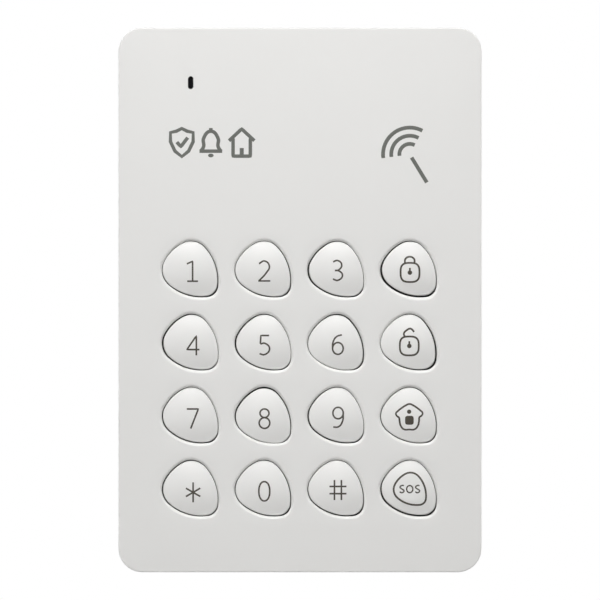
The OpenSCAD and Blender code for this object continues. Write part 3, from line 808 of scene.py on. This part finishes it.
# each stroke: kind, points, and a width where it isn't the usual one.
# line = straight, curve = smooth, loop = closed smooth, path = closed through many points, spot = filled
letterS = [(0.44, 0.78), (-0.02, 0.79), (-0.42, 0.42), (0.02, 0.0), (0.45, -0.4), (0.0, -0.79), (-0.5, -0.6)]
lockBody = ("path", oval(0.16, -0.63, 2.08, 2.11, 3.0, 48))
legends = {
    "1": [("line", [(-0.84, 1.25), (0.42, 1.84), (0.42, -2.56)]), ("line", [(-0.78, -2.56), (1.60, -2.56)])],
    "2": [("curve", [(-1.0, 1.30), (0.22, 1.89), (1.27, 0.78), (0.50, -0.84), (-1.05, -2.5)]),
          ("line", [(-1.17, -2.5), (1.47, -2.5)])],
    "3": [("curve", [(-0.72, 1.72), (0.25, 2.0), (1.16, 1.10), (0.52, -0.06), (-0.33, -0.2)]),
          ("curve", [(-0.33, -0.2), (0.58, -0.30), (1.32, -1.28), (0.30, -2.36), (-0.78, -2.08)])],
    "4": [("line", [(1.24, -2.80), (1.24, 1.50), (-0.84, -1.52), (1.92, -1.52)])],
    "5": [("line", [(1.22, 1.58), (-0.60, 1.58), (-0.71, -0.26)]),
          ("curve", [(-0.71, -0.26), (0.34, -0.16), (1.32, -1.36), (0.22, -2.62), (-0.88, -2.44)])],
    "6": [("curve", [(1.20, 1.74), (0.02, 1.32), (-0.75, 0.1), (-0.85, -1.3)]),
          ("loop", oval(0.32, -1.27, 1.17, 1.30, 2, 4))],
    "7": [("line", [(-0.86, 1.50), (1.68, 1.50), (0.0, -2.82)])],
    "8": [("loop", oval(0.20, 0.56, 0.99, 0.94, 2, 4)), ("loop", oval(0.20, -1.60, 1.17, 1.18, 2, 4))],
    "9": [("loop", oval(0.36, 0.60, 1.14, 1.26, 2, 4)),
          ("curve", [(1.50, 0.5), (1.34, -1.2), (0.50, -2.4), (-0.70, -2.5)])],
    "star": [("line", [(0.53, 1.43), (0.53, -2.97)]), ("line", [(-1.05, 0.15), (2.11, -1.69)]),
             ("line", [(-1.05, -1.69), (2.11, 0.15)])],
    "0": [("path", oval(0.16, -0.54, 1.20, 2.13, 2.2, 40))],
    "hash": [("line", [(-0.44, 1.95), (-0.44, -2.48)]), ("line", [(1.09, 1.95), (1.09, -2.48)]),
             ("line", [(-1.53, 0.53), (2.21, 0.53)]), ("line", [(-1.53, -1.06), (2.21, -1.06)])],
    "arm": [lockBody, ("open", arch(0.10, 1.94, 1.07, 0.9, 0.5)),
            ("spot", oval(0.13, -0.66, 0.50, 0.50, 2, 20)), ("line", [(0.13, -0.5), (0.13, 0.38)], 0.38)],
    "disarm": [("path", oval(0.0, -0.72, 2.08, 2.08, 3.0, 48)),
               ("curve", [(-0.97, 1.36), (-1.19, 1.81), (-1.08, 2.26), (-0.52, 2.77), (0.16, 3.1), (0.5, 2.99),
                          (1.06, 2.37)]),
               ("spot", oval(0, -0.72, 0.50, 0.50, 2, 20)), ("line", [(0, -0.55), (0, 0.33)], 0.38)],
    "home": [("loop", [(0.04, 2.59), (-0.85, 2.25), (-1.64, 1.74), (-2.54, 1.01), (-2.94, 0.51), (-2.77, 0.0),
                       (-2.26, -0.45), (-2.15, -1.12), (-1.87, -2.25), (-1.19, -2.98), (0.0, -3.04), (1.19, -2.98),
                       (1.87, -2.25), (2.15, -1.12), (2.24, -0.34), (2.77, 0.1), (2.91, 0.67), (2.54, 1.08),
                       (1.64, 1.80), (0.90, 2.27)]),
             ("spot", oval(-0.04, 0.90, 0.47, 0.47, 2, 20)), ("spot", oval(0.02, -0.99, 0.96, 0.99, 4, 32))],
    "sos": [("path", keyLoop(0.583, 0.22, -0.06)),
            ("curve", [(x - 1.615, z - 0.06) for x, z in letterS], 0.31),
            ("loop", oval(0.10, -0.06, 0.68, 0.79, 2, 4), 0.31),
            ("curve", [(x + 1.815, z - 0.06) for x, z in letterS], 0.31)],
}

# plain signs for the face: a shield, a bell and a house, and a tag with radio waves
shield = [(0, 3.1), (1.2, 2.5), (2.5, 2.2), (2.5, 0.2), (1.5, -1.9), (0, -3.1), (-1.5, -1.9), (-2.5, 0.2),
          (-2.5, 2.2), (-1.2, 2.5)]
faceSigns = {
    "signRow": (("x", -19.65, 34.7), [
        ("path", [(x - 6.4, z) for x, z in shield], inkLook["rowStroke"]),
        ("line", [(-7.5, 0.1), (-6.6, -0.9), (-5.1, 1.1)], inkLook["rowStroke"]),
        ("curve", [(-2.2, -1.9), (-1.6, -0.9), (-1.6, 0.9), (0, 2.5), (1.6, 0.9), (1.6, -0.9), (2.2, -1.9)],
         inkLook["rowStroke"]),
        ("line", [(-2.5, -1.9), (2.5, -1.9)], inkLook["rowStroke"]), ("spot", oval(0, -2.85, 0.62, 0.42, 2, 20)),
        ("line", [(0, 2.5), (0, 3.2)], inkLook["rowStroke"]),
        ("line", [(4.0, 0.4), (6.8, 3.0), (9.6, 0.4)], inkLook["rowStroke"]),
        ("line", [(4.9, 0.9), (4.9, -3.0), (8.7, -3.0), (8.7, 0.9)], inkLook["rowStroke"]),
        ("line", [(6.8, -3.0), (6.8, -1.2)], 0.9)]),
    "signTag": (("x", 23.6, 31.2), []),
}


def finely(points, step=0.3):        # extra points along straight strokes, so that they follow the crown
    out = [points[0]]
    for a, b in zip(points, points[1:]):
        count = max(1, round(math.dist(a, b) / step))
        out += [(a[0] + (b[0] - a[0]) * i / count, a[1] + (b[1] - a[1]) * i / count) for i in range(1, count + 1)]
    return out


def wireAlong(points, width, flowing=True, closed=False):            # a round wire through the points, all in mm
    clearPick()
    bpy.ops.curve.primitive_bezier_curve_add()
    curve = bpy.context.object.data
    spline = curve.splines[0]
    spline.bezier_points.add(len(points) - 2)
    for point, place in zip(spline.bezier_points, points):
        point.co = Vector(place) * mm
        point.handle_left_type = point.handle_right_type = "AUTO" if flowing else "VECTOR"
    spline.use_cyclic_u = closed
    curve.resolution_u = 8 if flowing else 1
    curve.bevel_depth = width / 2 * mm
    curve.bevel_resolution = 2
    curve.use_fill_caps = True
    bpy.ops.object.convert(target="MESH")
    return bpy.context.object


def inkStroke(kind, points, width):
    clearPick()
    if kind == "line":
        points = finely(points)
    if kind == "spot":
        cx, cz = (sum(p[i] for p in points) / len(points) for i in (0, 1))
        rise = inkLook["rise"]
        return skinRings("spot", [[Vector(((cx + (x - cx) * f) * mm, y * mm, (cz + (z - cz) * f) * mm)) for x,
                                   z in points]
                                  for f, y in ((0.08, -rise), (0.35, -rise), (0.65, -rise), (0.92, -rise), (1, 0),
                                               (0.9, rise),
                                               (0.1, rise))])
    smoothKind = kind in ("curve", "loop")
    piece = wireAlong([(x, 0, z) for x, z in points], width, smoothKind, kind in ("loop", "path"))
    for vert in piece.data.vertices:
        vert.co.y *= 2 * inkLook["rise"] / width
    return piece


def layInk(name, strokes, width, spot, surface):     # strokes drawn about spot, then laid on the surface
    parts = []
    for kind, points, *own in strokes:
        parts.append(inkStroke(kind, points, own[0] if own else width))
    ink = joinAll(name, parts)
    settle(ink)
    for vert in ink.data.vertices:
        p = Vector((vert.co.x, vert.co.z)) / mm
        vert.co = (vert.co.x + spot[0], vert.co.y + surface(p), vert.co.z + spot[1])
    mergeUp(ink, wireWeldGap)
    smooth(ink, 50)
    return ink


def makeLegends():
    made = {}
    for k in keyNames:
        sit = Vector(keySits[k][:2])
        top = sosY if k == "sos" else crownY
        width = inkLook["iconStroke"] if k in ("arm", "disarm", "home", "sos") else inkLook["stroke"]
        made[k] = layInk("legend_" + k, legends[k], width, keySpot[k], lambda p: top(p - sit))
    print("stage: legends laid on the keys")
    return made


def tagSign():                       # a slim tag standing on its corner, and waves spreading from it
    strokes = [("line", [(1.0, 0.2), (4.35, -5.3)])]
    cx, cz = 0.6, 0.9
    for radius in (2.3, 4.1, 5.9):
        arc = [(cx + radius * math.cos(math.radians(a)), cz + radius * math.sin(math.radians(a)))
               for a in range(62, 189, 6)]
        strokes.append(("open", arc))
    return strokes


def makeSigns():
    made = []
    for name, (place, strokes) in faceSigns.items():
        strokes = strokes or tagSign()
        spot = (place[1] * mm, caseZ + place[2] * mm)
        made.append(layInk(name, strokes, inkLook["signStroke"], spot, lambda p: frontY))
    print("stage: signs laid on the face")
    return made


# ---------- the soft parts that give when something is pressed ----------
matLook = dict(
    thick=1.2,           # the sheet between the domes
    corner=2.0,
    hole=4.6,            # a little smaller than a dome's foot
    footWall=0.5,
    foot=4.7,            # radius of a dome where it meets the sheet
    top=2.7,
    tall=1.4,            # from the sheet to the top of a dome
    shoulder=0.7,
    boss=1.1,            # thickness of the solid top, which pushes the pill
    around=32,
)


def makeMat():
    m = matLook
    low, high = (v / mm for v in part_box("keymat"))
    back = high.y
    front = back - m["thick"]
    sheet = skinRings("matSheet", [rectRing(low.x, high.x, low.z, high.z, m["corner"], y) for y in (front, back)])
    holes = [(keySpot[k], m["hole"]) for k in keyNames]
    holes += [(at, bossLook["board"] + 0.4) for at in looseParts("board_screws")]
    combine(sheet, joinAll("holes", [plug(at, radius, front - 1, back + 1) for at, radius in holes]), "DIFFERENCE")
    smooth(sheet, 30)

    top, inner = front - m["tall"], front - m["tall"] + m["boss"]
    shape = [(0.4, top), (m["top"] - 0.5, top), (m["top"] - 0.35, top + 0.06), (m["top"], top + m["shoulder"]),
             (m["foot"], front), (m["foot"], back), (m["foot"] - m["footWall"], back),
             (m["foot"] - m["footWall"], front + 0.25), (m["top"] - 0.2, inner - 0.1), (m["top"] - 0.5, inner),
             (0.4, inner)]
    dome = skinRings("dome", [circleRing(m["around"], r * mm, (0, 0), y * mm) for r, y in shape])
    smooth(dome, 35)
    domes = {k: copyOf(dome, "dome_" + k, (keyCentre[k].x, 0, keyCentre[k].z)) for k in keyNames}
    bpy.data.objects.remove(dome)
    print("stage: key mat modelled as a sheet and", len(domes), "domes")
    return sheet, domes, (front, inner)


springLook = dict(wire=0.4, turns=4, perTurn=10)


def makeTamperSpring():
    w = springLook
    low, high = (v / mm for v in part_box("tamper_spring"))
    radius = (high.x - low.x - w["wire"]) / 2
    first, last = low.y + w["wire"] / 2, high.y - w["wire"] / 2
    count = w["turns"] * w["perTurn"]
    points = [(radius * math.cos(fullTurn * i / w["perTurn"]), first + (last - first) * i / count,
               (low.z + high.z) / 2 + radius * math.sin(fullTurn * i / w["perTurn"])) for i in range(count + 1)]
    spring = wireAlong(points, w["wire"])
    spring.name = "tamperSpring"
    mergeUp(spring, wireWeldGap)
    smooth(spring, 50)
    print("stage: tamper spring wound")
    return spring, (first, last)


keyCaps = makeKeys()
lens = makeLens()
cover = makeFrontCover()
legendInk = makeLegends()
signs = makeSigns()
bracket = makeBracket()
rearCover = makeRearCover()
door = makeDoor()
caseScrews = makeScrews()
matSheet, domes, (domeFoot, domeTop) = makeMat()
tamperSpring, (springFoot, springTip) = makeTamperSpring()
jackets, cellEnds = makeCells()


# ---------- shared effects, each a node group ----------
class Nodes:                         # short way to place and link nodes in one tree
    def __init__(self, tree):
        self.tree = tree

    def add(self, kind, inputs=None, **values):
        node = self.tree.nodes.new(kind)
        for key, value in values.items():
            setattr(node, key, value)
        for key, value in (inputs or {}).items():
            if isinstance(value, bpy.types.NodeSocket):
                self.tree.links.new(value, node.inputs[key])
            else:
                node.inputs[key].default_value = value
        return node

    def math(self, how, a, b=0.0, clamp=False):
        return self.add("ShaderNodeMath", {0: a, 1: b}, operation=how, use_clamp=clamp).outputs[0]

    def ramp(self, value, low, high, toLow=0.0, toHigh=1.0):
        node = self.add("ShaderNodeMapRange", {"Value": value, "From Min": low, "From Max": high,
                                               "To Min": toLow, "To Max": toHigh})
        node.clamp = True
        return node.outputs[0]

    def noise(self, place, scale, detail=3.0, rough=0.5):
        return self.add("ShaderNodeTexNoise", {"Vector": place, "Scale": scale, "Detail": detail,
                                               "Roughness": rough}).outputs[0]

    def place(self):
        return self.add("ShaderNodeTexCoord").outputs["Object"]

    def blend(self, fac, a, b):
        node = self.add("ShaderNodeMix", data_type="RGBA", blend_type="MIX")
        for key, value in ((0, fac), (6, a), (7, b)):
            if isinstance(value, bpy.types.NodeSocket):
                self.tree.links.new(value, node.inputs[key])
            else:
                node.inputs[key].default_value = value
        return node.outputs[2]


def newGroup(name, ins, outs):
    tree = bpy.data.node_groups.new(name, "ShaderNodeTree")
    for label, kind, value in ins:
        socket = tree.interface.new_socket(name=label, in_out="INPUT", socket_type=kind)
        socket.default_value = value
    for label, kind in outs:
        tree.interface.new_socket(name=label, in_out="OUTPUT", socket_type=kind)
    n = Nodes(tree)
    return tree, n, n.add("NodeGroupInput").outputs, n.add("NodeGroupOutput").inputs


num, col = "NodeSocketFloat", "NodeSocketColor"


def groupTone():                     # slow drift of a colour over the surface
    tree, n, i, o = newGroup("slowTone", [("Colour", col, (1, 1, 1, 1)), ("Amount", num, 0.03), ("Scale", num, 60.0)],
                             [("Colour", col)])
    cloud = n.noise(n.place(), i["Scale"], 4.0)
    lift = n.math("MULTIPLY", n.math("SUBTRACT", cloud, 0.5), i["Amount"])
    lift = n.math("ADD", 1.0, n.math("MULTIPLY", lift, 2.0))
    scaled = n.add("ShaderNodeVectorMath", {0: i["Colour"], 3: lift}, operation="SCALE").outputs[0]
    tree.links.new(scaled, o["Colour"])
    return tree


def groupGrain():                    # fine texture of the mould, as a height
    tree, n, i, o = newGroup("mouldGrain", [("Scale", num, 4000.0), ("Amount", num, 1.0)], [("Height", num)])
    place = n.place()
    fine = n.noise(place, i["Scale"], 2.0, 0.6)
    broad = n.noise(place, n.math("MULTIPLY", i["Scale"], 0.02), 2.0)
    both = n.math("ADD", fine, n.math("MULTIPLY", broad, 0.6))
    tree.links.new(n.math("MULTIPLY", both, i["Amount"]), o["Height"])
    return tree


def groupMarks():                    # roughness that varies, with finger-sized smoother patches
    tree, n, i, o = newGroup("faintMarks", [("Base", num, 0.5), ("Spread", num, 0.08), ("Scale", num, 120.0)],
                             [("Roughness", num)])
    place = n.place()
    patch = n.noise(place, i["Scale"], 3.0)
    specks = n.noise(place, n.math("MULTIPLY", i["Scale"], 14.0), 2.0)
    both = n.math("ADD", n.math("MULTIPLY", patch, 0.75), n.math("MULTIPLY", specks, 0.25))
    swing = n.math("MULTIPLY", n.math("SUBTRACT", both, 0.5), n.math("MULTIPLY", i["Spread"], 2.0))
    tree.links.new(n.math("ADD", i["Base"], swing, True), o["Roughness"])
    return tree


def groupSlit():                     # painted shade that darkens the slits round the keys with depth
    tree, n, i, o = newGroup("slitShade", [("Start", num, -0.0195), ("End", num, -0.0186), ("Most", num, 0.8)],
                             [("Mask", num)])
    across, depth, up = n.add("ShaderNodeSeparateXYZ", {0: n.place()}).outputs
    inFace = n.math("MULTIPLY", n.ramp(n.math("ABSOLUTE", across), 0.0370, 0.0375, 1.0, 0.0),
                    n.ramp(n.math("ABSOLUTE", n.math("SUBTRACT", up, caseZ)), 0.0570, 0.0575, 1.0, 0.0))
    t = n.add("ShaderNodeMapRange", {"Value": depth, "From Min": i["Start"], "From Max": i["End"]},
              interpolation_type="SMOOTHSTEP").outputs[0]
    back = n.math("MULTIPLY", n.ramp(depth, -0.0168, -0.0160, 1.0, 0.0), inFace)     # only the front wall is shaded
    tree.links.new(n.math("MULTIPLY", n.math("MULTIPLY", t, back), i["Most"]), o["Mask"])
    return tree


def groupDust():                     # a little dust on what faces up, in uneven patches
    tree, n, i, o = newGroup("restingDust", [("Amount", num, 0.3), ("Scale", num, 300.0)], [("Mask", num)])
    up = n.add("ShaderNodeSeparateXYZ", {0: n.add("ShaderNodeTexCoord").outputs["Normal"]}).outputs[2]
    patch = n.ramp(n.noise(n.place(), i["Scale"], 4.0), 0.35, 0.7)
    tree.links.new(n.math("MULTIPLY", n.math("MULTIPLY", n.ramp(up, 0.5, 1.0), patch), i["Amount"]), o["Mask"])
    return tree


def groupWear():                     # rubbed edges, from the sharpness of the surface
    tree, n, i, o = newGroup("rubbedEdges", [("Amount", num, 0.5), ("Scale", num, 400.0)], [("Mask", num)])
    sharp = n.ramp(n.add("ShaderNodeNewGeometry").outputs["Pointiness"], 0.52, 0.78)
    patch = n.ramp(n.noise(n.place(), i["Scale"], 3.0), 0.4, 0.65)
    tree.links.new(n.math("MULTIPLY", n.math("MULTIPLY", sharp, patch), i["Amount"]), o["Mask"])
    return tree


effects = dict(tone=groupTone(), grain=groupGrain(), marks=groupMarks(), slit=groupSlit(),
               dust=groupDust(), wear=groupWear())

# what each finish is made of, and slit is painted shade deep in the slits round the keys; sizes of patterns are counts
# per metre
finishes = {
    "shellWhite": dict(colour=(0.80, 0.795, 0.78), tone=0.012, toneScale=45, rough=0.46, spread=0.05, grain=5200,
                       bump=0.010,
                       slit=0.97, slitStart=-0.0194, slitEnd=-0.0190, dust=0.05, wear=0.03),
    "keyWhite": dict(colour=(0.83, 0.825, 0.81), tone=0.010, toneScale=90, rough=0.40, spread=0.06, grain=6500,
                     bump=0.006,
                     slit=0.97, dust=0.03, wear=0.02),
    "backWhite": dict(colour=(0.79, 0.785, 0.77), tone=0.014, toneScale=45, rough=0.50, spread=0.06, grain=4200,
                      bump=0.014,
                      dust=0.08, wear=0.03),
    "bracketWhite": dict(colour=(0.77, 0.765, 0.745), tone=0.02, toneScale=60, rough=0.55, spread=0.07, grain=3600,
                         bump=0.018,
                         dust=0.15, wear=0.03),
    "printInk": dict(colour=(0.070, 0.060, 0.046), tone=0.10, toneScale=900, rough=0.55, spread=0.06, grain=7000,
                     bump=0.004),
    "signInk": dict(colour=(0.145, 0.15, 0.135), tone=0.06, toneScale=700, rough=0.55, spread=0.06, grain=7000,
                    bump=0.004),
    "silicone": dict(colour=(0.50, 0.50, 0.48), tone=0.04, toneScale=80, rough=0.62, spread=0.08, grain=2500,
                     bump=0.02, dust=0.2),
    "carbon": dict(colour=(0.025, 0.025, 0.026), tone=0.15, toneScale=500, rough=0.75, spread=0.1, grain=4000,
                   bump=0.02),
    "circuitBoard": dict(colour=(0.012, 0.085, 0.035), tone=0.12, toneScale=120, rough=0.30, spread=0.08, grain=2500,
                         bump=0.006,
                         traces=(0.02, 0.16, 0.06), coat=0.3),
    "chipBlack": dict(colour=(0.018, 0.018, 0.02), tone=0.15, toneScale=600, rough=0.55, spread=0.1, grain=5000,
                      bump=0.02),
    "canMetal": dict(colour=(0.62, 0.63, 0.64), tone=0.05, toneScale=300, rough=0.32, spread=0.12, grain=1800,
                     bump=0.01,
                     metal=1.0, wear=0.2),
    "ceramicParts": dict(colour=(0.38, 0.26, 0.15), tone=0.2, toneScale=900, rough=0.45, spread=0.1, grain=5000,
                         bump=0.01),
    "blackPlastic": dict(colour=(0.03, 0.03, 0.032), tone=0.12, toneScale=300, rough=0.48, spread=0.1, grain=3500,
                         bump=0.02,
                         dust=0.15),
    "ledBody": dict(colour=(0.75, 0.70, 0.48), tone=0.05, toneScale=900, rough=0.25, spread=0.06, grain=4000,
                    bump=0.004, coat=0.4),
    "copperWire": dict(colour=(0.62, 0.27, 0.11), tone=0.12, toneScale=500, rough=0.30, spread=0.1, grain=1500,
                       bump=0.03,
                       metal=1.0, coat=0.4),
    "springSteel": dict(colour=(0.58, 0.58, 0.57), tone=0.06, toneScale=500, rough=0.28, spread=0.12, grain=1500,
                        bump=0.01,
                        metal=1.0, wear=0.2),
    "cellJacket": dict(colour=(0.035, 0.080, 0.070), tone=0.10, toneScale=160, rough=0.26, spread=0.08, grain=2500,
                       bump=0.006,
                       coat=0.6, wear=0.15),
    "cellBand": dict(colour=(0.55, 0.56, 0.54), tone=0.08, toneScale=160, rough=0.26, spread=0.08, grain=2500,
                     bump=0.006,
                     coat=0.6, wear=0.15),
    "cellMetal": dict(colour=(0.66, 0.66, 0.65), tone=0.06, toneScale=400, rough=0.25, spread=0.12, grain=1800,
                      bump=0.008,
                      metal=1.0, wear=0.2),
    "leadSleeve": dict(colour=(0.42, 0.025, 0.02), tone=0.1, toneScale=300, rough=0.42, spread=0.08, grain=3000,
                       bump=0.01),
    "screwSteel": dict(colour=(0.55, 0.55, 0.56), tone=0.08, toneScale=500, rough=0.30, spread=0.15, grain=1800,
                       bump=0.01,
                       metal=1.0, wear=0.4),
    "darkWindow": dict(colour=(0.006, 0.006, 0.007), tone=0.1, toneScale=400, rough=0.22, spread=0.05, grain=3000,
                       bump=0.002),
}


def makeFinish(name, look):
    mat = bpy.data.materials.new(name)
    mat.use_nodes = True
    mat.node_tree.nodes.clear()
    n = Nodes(mat.node_tree)
    shader = n.add("ShaderNodeBsdfPrincipled")
    out = n.add("ShaderNodeOutputMaterial", {"Surface": shader.outputs[0]})

    def group(key, **inputs):
        node = n.add("ShaderNodeGroup", node_tree=effects[key])
        for label, value in inputs.items():
            node.inputs[label].default_value = value
        return node

    colour = group("tone", Colour=(*look["colour"], 1), Amount=look["tone"], Scale=look["toneScale"]).outputs[0]
    if look.get("traces"):           # copper tracks under the lacquer: straight runs in two directions
        place = n.place()
        cells = n.add("ShaderNodeTexVoronoi", {"Vector": place, "Scale": 260.0},
                      distance="CHEBYCHEV").outputs["Distance"]
        lines = n.add("ShaderNodeTexWave", {"Vector": place, "Scale": 420.0, "Distortion": 0.0},
                      bands_direction="DIAGONAL").outputs[1]
        track = n.math("MULTIPLY", n.ramp(lines, 0.62, 0.70), n.ramp(cells, 0.30, 0.34))
        colour = n.blend(track, colour, (*look["traces"], 1))
    if look.get("wear"):
        pale = tuple(min(1.0, c * 1.12 + 0.03) for c in look["colour"])
        colour = n.blend(group("wear", Amount=look["wear"]).outputs[0], colour, (*pale, 1))
    if look.get("dust"):
        colour = n.blend(group("dust", Amount=look["dust"]).outputs[0], colour, (0.46, 0.43, 0.38, 1))
    # painted shade: the slits round the keys go near-black with depth
    if look.get("slit"):
        shade = group("slit", Start=look.get("slitStart", -0.01925), End=look.get("slitEnd", -0.01885),
                      Most=look["slit"])
        colour = n.blend(shade.outputs[0], colour, (0.03, 0.028, 0.025, 1))
    marks = group("marks", Base=look["rough"], Spread=look["spread"], Scale=140.0)
    grain = group("grain", Scale=look["grain"])
    bump = n.add("ShaderNodeBump", {"Height": grain.outputs[0], "Strength": 0.5, "Distance": look["bump"] * mm})
    mat.node_tree.links.new(colour, shader.inputs["Base Color"])
    mat.node_tree.links.new(marks.outputs[0], shader.inputs["Roughness"])
    mat.node_tree.links.new(bump.outputs[0], shader.inputs["Normal"])
    shader.inputs["IOR"].default_value = 1.46
    shader.inputs["Metallic"].default_value = look.get("metal", 0.0)
    shader.inputs["Coat Weight"].default_value = look.get("coat", 0.0)
    shader.inputs["Coat Roughness"].default_value = 0.12
    return mat


materials = {name: makeFinish(name, look) for name, look in finishes.items()}


def dress(piece, finish, slot, body, *nodes):        # material, a slot that is not used, body and the nodes it stands for
    piece.data.materials.clear()
    piece.data.materials.append(materials[finish])
    if body:
        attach(piece, body)
    if nodes:
        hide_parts(*nodes)


dress(cover, "shellWhite", "shell_white", "case", "front_cover")
dress(lens, "darkWindow", "dark_window", "case", "indicator_lens")
for k in keyNames:
    dress(keyCaps[k], "keyWhite", "key_white", "key_" + k, "key_" + k)
    dress(legendInk[k], "printInk", "key_white", "key_" + k)
for sign in signs:
    dress(sign, "signInk", "shell_white", "case")

dress(rearCover, "backWhite", "shell_white", "case", "rear_cover")
dress(door, "backWhite", "shell_white", "battery_door", "battery_door")
dress(bracket, "bracketWhite", "bracket_white", "wall_bracket", "wall_bracket")
dress(caseScrews, "screwSteel", "screw_steel", "case", "case_screws")
dress(jackets, "cellJacket", "cell_jacket", "case", "battery_cells")
dress(cellEnds, "cellMetal", "cell_jacket", "case", "battery_cells")

jackets.data.materials.append(materials["cellBand"])             # the end by each button is the coloured band
cellLow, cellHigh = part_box("battery_cells")
for face in jackets.data.polygons:
    row = int((face.center.z - cellLow.z) / (cellLook["pitch"] * mm))
    fromButton = face.center.x - cellLow.x if row % 2 == 0 else cellHigh.x - face.center.x
    face.material_index = 1 if fromButton < cellLook["band"] * mm else 0

dress(matSheet, "silicone", "silicone", "case", "keymat")
for k in keyNames:                   # the domes join no body; each one's place is baked into its mesh
    dress(domes[k], "silicone", "silicone", None, "keymat")
    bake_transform(domes[k])
dress(tamperSpring, "springSteel", "spring_steel", None, "tamper_spring")
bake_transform(tamperSpring)

nodeFinish = {
    "main_board": "circuitBoard", "microcontroller": "chipBlack", "reader_chip": "chipBlack",
    "radio_module": "canMetal", "crystals": "canMetal", "small_components": "ceramicParts",
    "electrolytic_capacitors": "canMetal", "buzzer": "blackPlastic", "status_led": "ledBody",
    "reader_coil": "copperWire",
    "coil_leads": "copperWire", "aerial": "copperWire", "tamper_switch": "blackPlastic", "tamper_plunger": "backWhite",
    "battery_springs": "springSteel", "battery_contacts": "springSteel",
    "battery_leads": "leadSleeve", "board_screws": "screwSteel"}
nodeFinish.update({"pill_" + k: "carbon" for k in keyNames})
for name, finish in nodeFinish.items():
    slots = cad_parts[name].data.materials
    for i in range(len(slots)):
        slots[i] = materials[finish]
print("stage: finishes on every piece and node")

# ---------- studio ----------
studio = dict(
    lens=300, reach=1.1019,          # long lens, distance to the flat of the face
    lights={                         # name: place from the middle of the face, size, power, spread in degrees
        "keyLight": ((-0.02, -0.30, 0.40), 0.36, 0.825, 90),
        "frontFill": ((0.0, -1.0, 0.0), 0.6, 0.01, 60),
        "sideLeft": ((-0.50, -0.30, 0.05), 0.5, 0.37, 120),
        "sideRight": ((0.50, -0.30, 0.05), 0.5, 0.345, 120),
        "backLeft": ((-0.75, 0.45, 0.40), 0.7, 1.3, 120),
        "backRight": ((0.80, 0.45, 0.15), 0.7, 1.0, 120),
    },
    ambient=0.01, floorZ=-0.10, floorGlow=0.45,     # the glow is seen only by the camera
)


def makeStudio():
    s = studio
    focus = Vector((0, frontY, caseZ))
    clearPick()
    bpy.ops.object.camera_add(location=(0, frontY - s["reach"], caseZ), rotation=(math.pi / 2, 0, 0))
    camera = bpy.context.object
    camera.name = "camera"
    camera.data.lens = s["lens"]
    camera.data.sensor_width = 36
    camera.data.clip_start, camera.data.clip_end = 0.05, 20
    bpy.context.scene.camera = camera
    for name, (place, size, power, spread) in s["lights"].items():
        clearPick()
        at = focus + Vector(place)
        bpy.ops.object.light_add(type="AREA", location=at)
        light = bpy.context.object
        light.name = name
        light.data.shape = "SQUARE"
        light.data.size = size
        light.data.energy = power
        light.data.spread = math.radians(spread)
        light.rotation_euler = (focus - at).to_track_quat("-Z", "Y").to_euler()
        light.visible_camera = False
    clearPick()
    bpy.ops.mesh.primitive_plane_add(size=1.0, location=(0, 0, s["floorZ"]))
    floor = bpy.context.object
    floor.name = "floor"
    settle(floor)
    mat = bpy.data.materials.new("paleFloor")
    mat.use_nodes = True
    shader = mat.node_tree.nodes["Principled BSDF"]
    shader.inputs["Base Color"].default_value = (0.64, 0.64, 0.635, 1)
    shader.inputs["Roughness"].default_value = 0.9
    shader.inputs["Emission Color"].default_value = (1, 1, 1, 1)
    n = Nodes(mat.node_tree)
    path = n.add("ShaderNodeLightPath")
    glow = n.math("MULTIPLY", path.outputs["Is Camera Ray"], s["floorGlow"])
    n.tree.links.new(glow, shader.inputs["Emission Strength"])
    floor.data.materials.append(mat)

    world = bpy.data.worlds.new("studio")
    bpy.context.scene.world = world
    world.use_nodes = True
    n = Nodes(world.node_tree)
    n.tree.nodes.clear()
    seen = n.add("ShaderNodeBackground", {"Color": (1, 1, 1, 1), "Strength": 1.0})
    lit = n.add("ShaderNodeBackground", {"Color": (1, 0.995, 0.985, 1), "Strength": s["ambient"]})
    path = n.add("ShaderNodeLightPath")
    both = n.add("ShaderNodeMixShader", {0: path.outputs["Is Camera Ray"], 1: lit.outputs[0], 2: seen.outputs[0]})
    n.add("ShaderNodeOutputWorld", {"Surface": both.outputs[0]})
    bpy.context.scene.view_settings.view_transform = "Standard"
    bpy.context.scene.view_settings.look = "None"
    print("stage: camera, lights and floor set")


makeStudio()
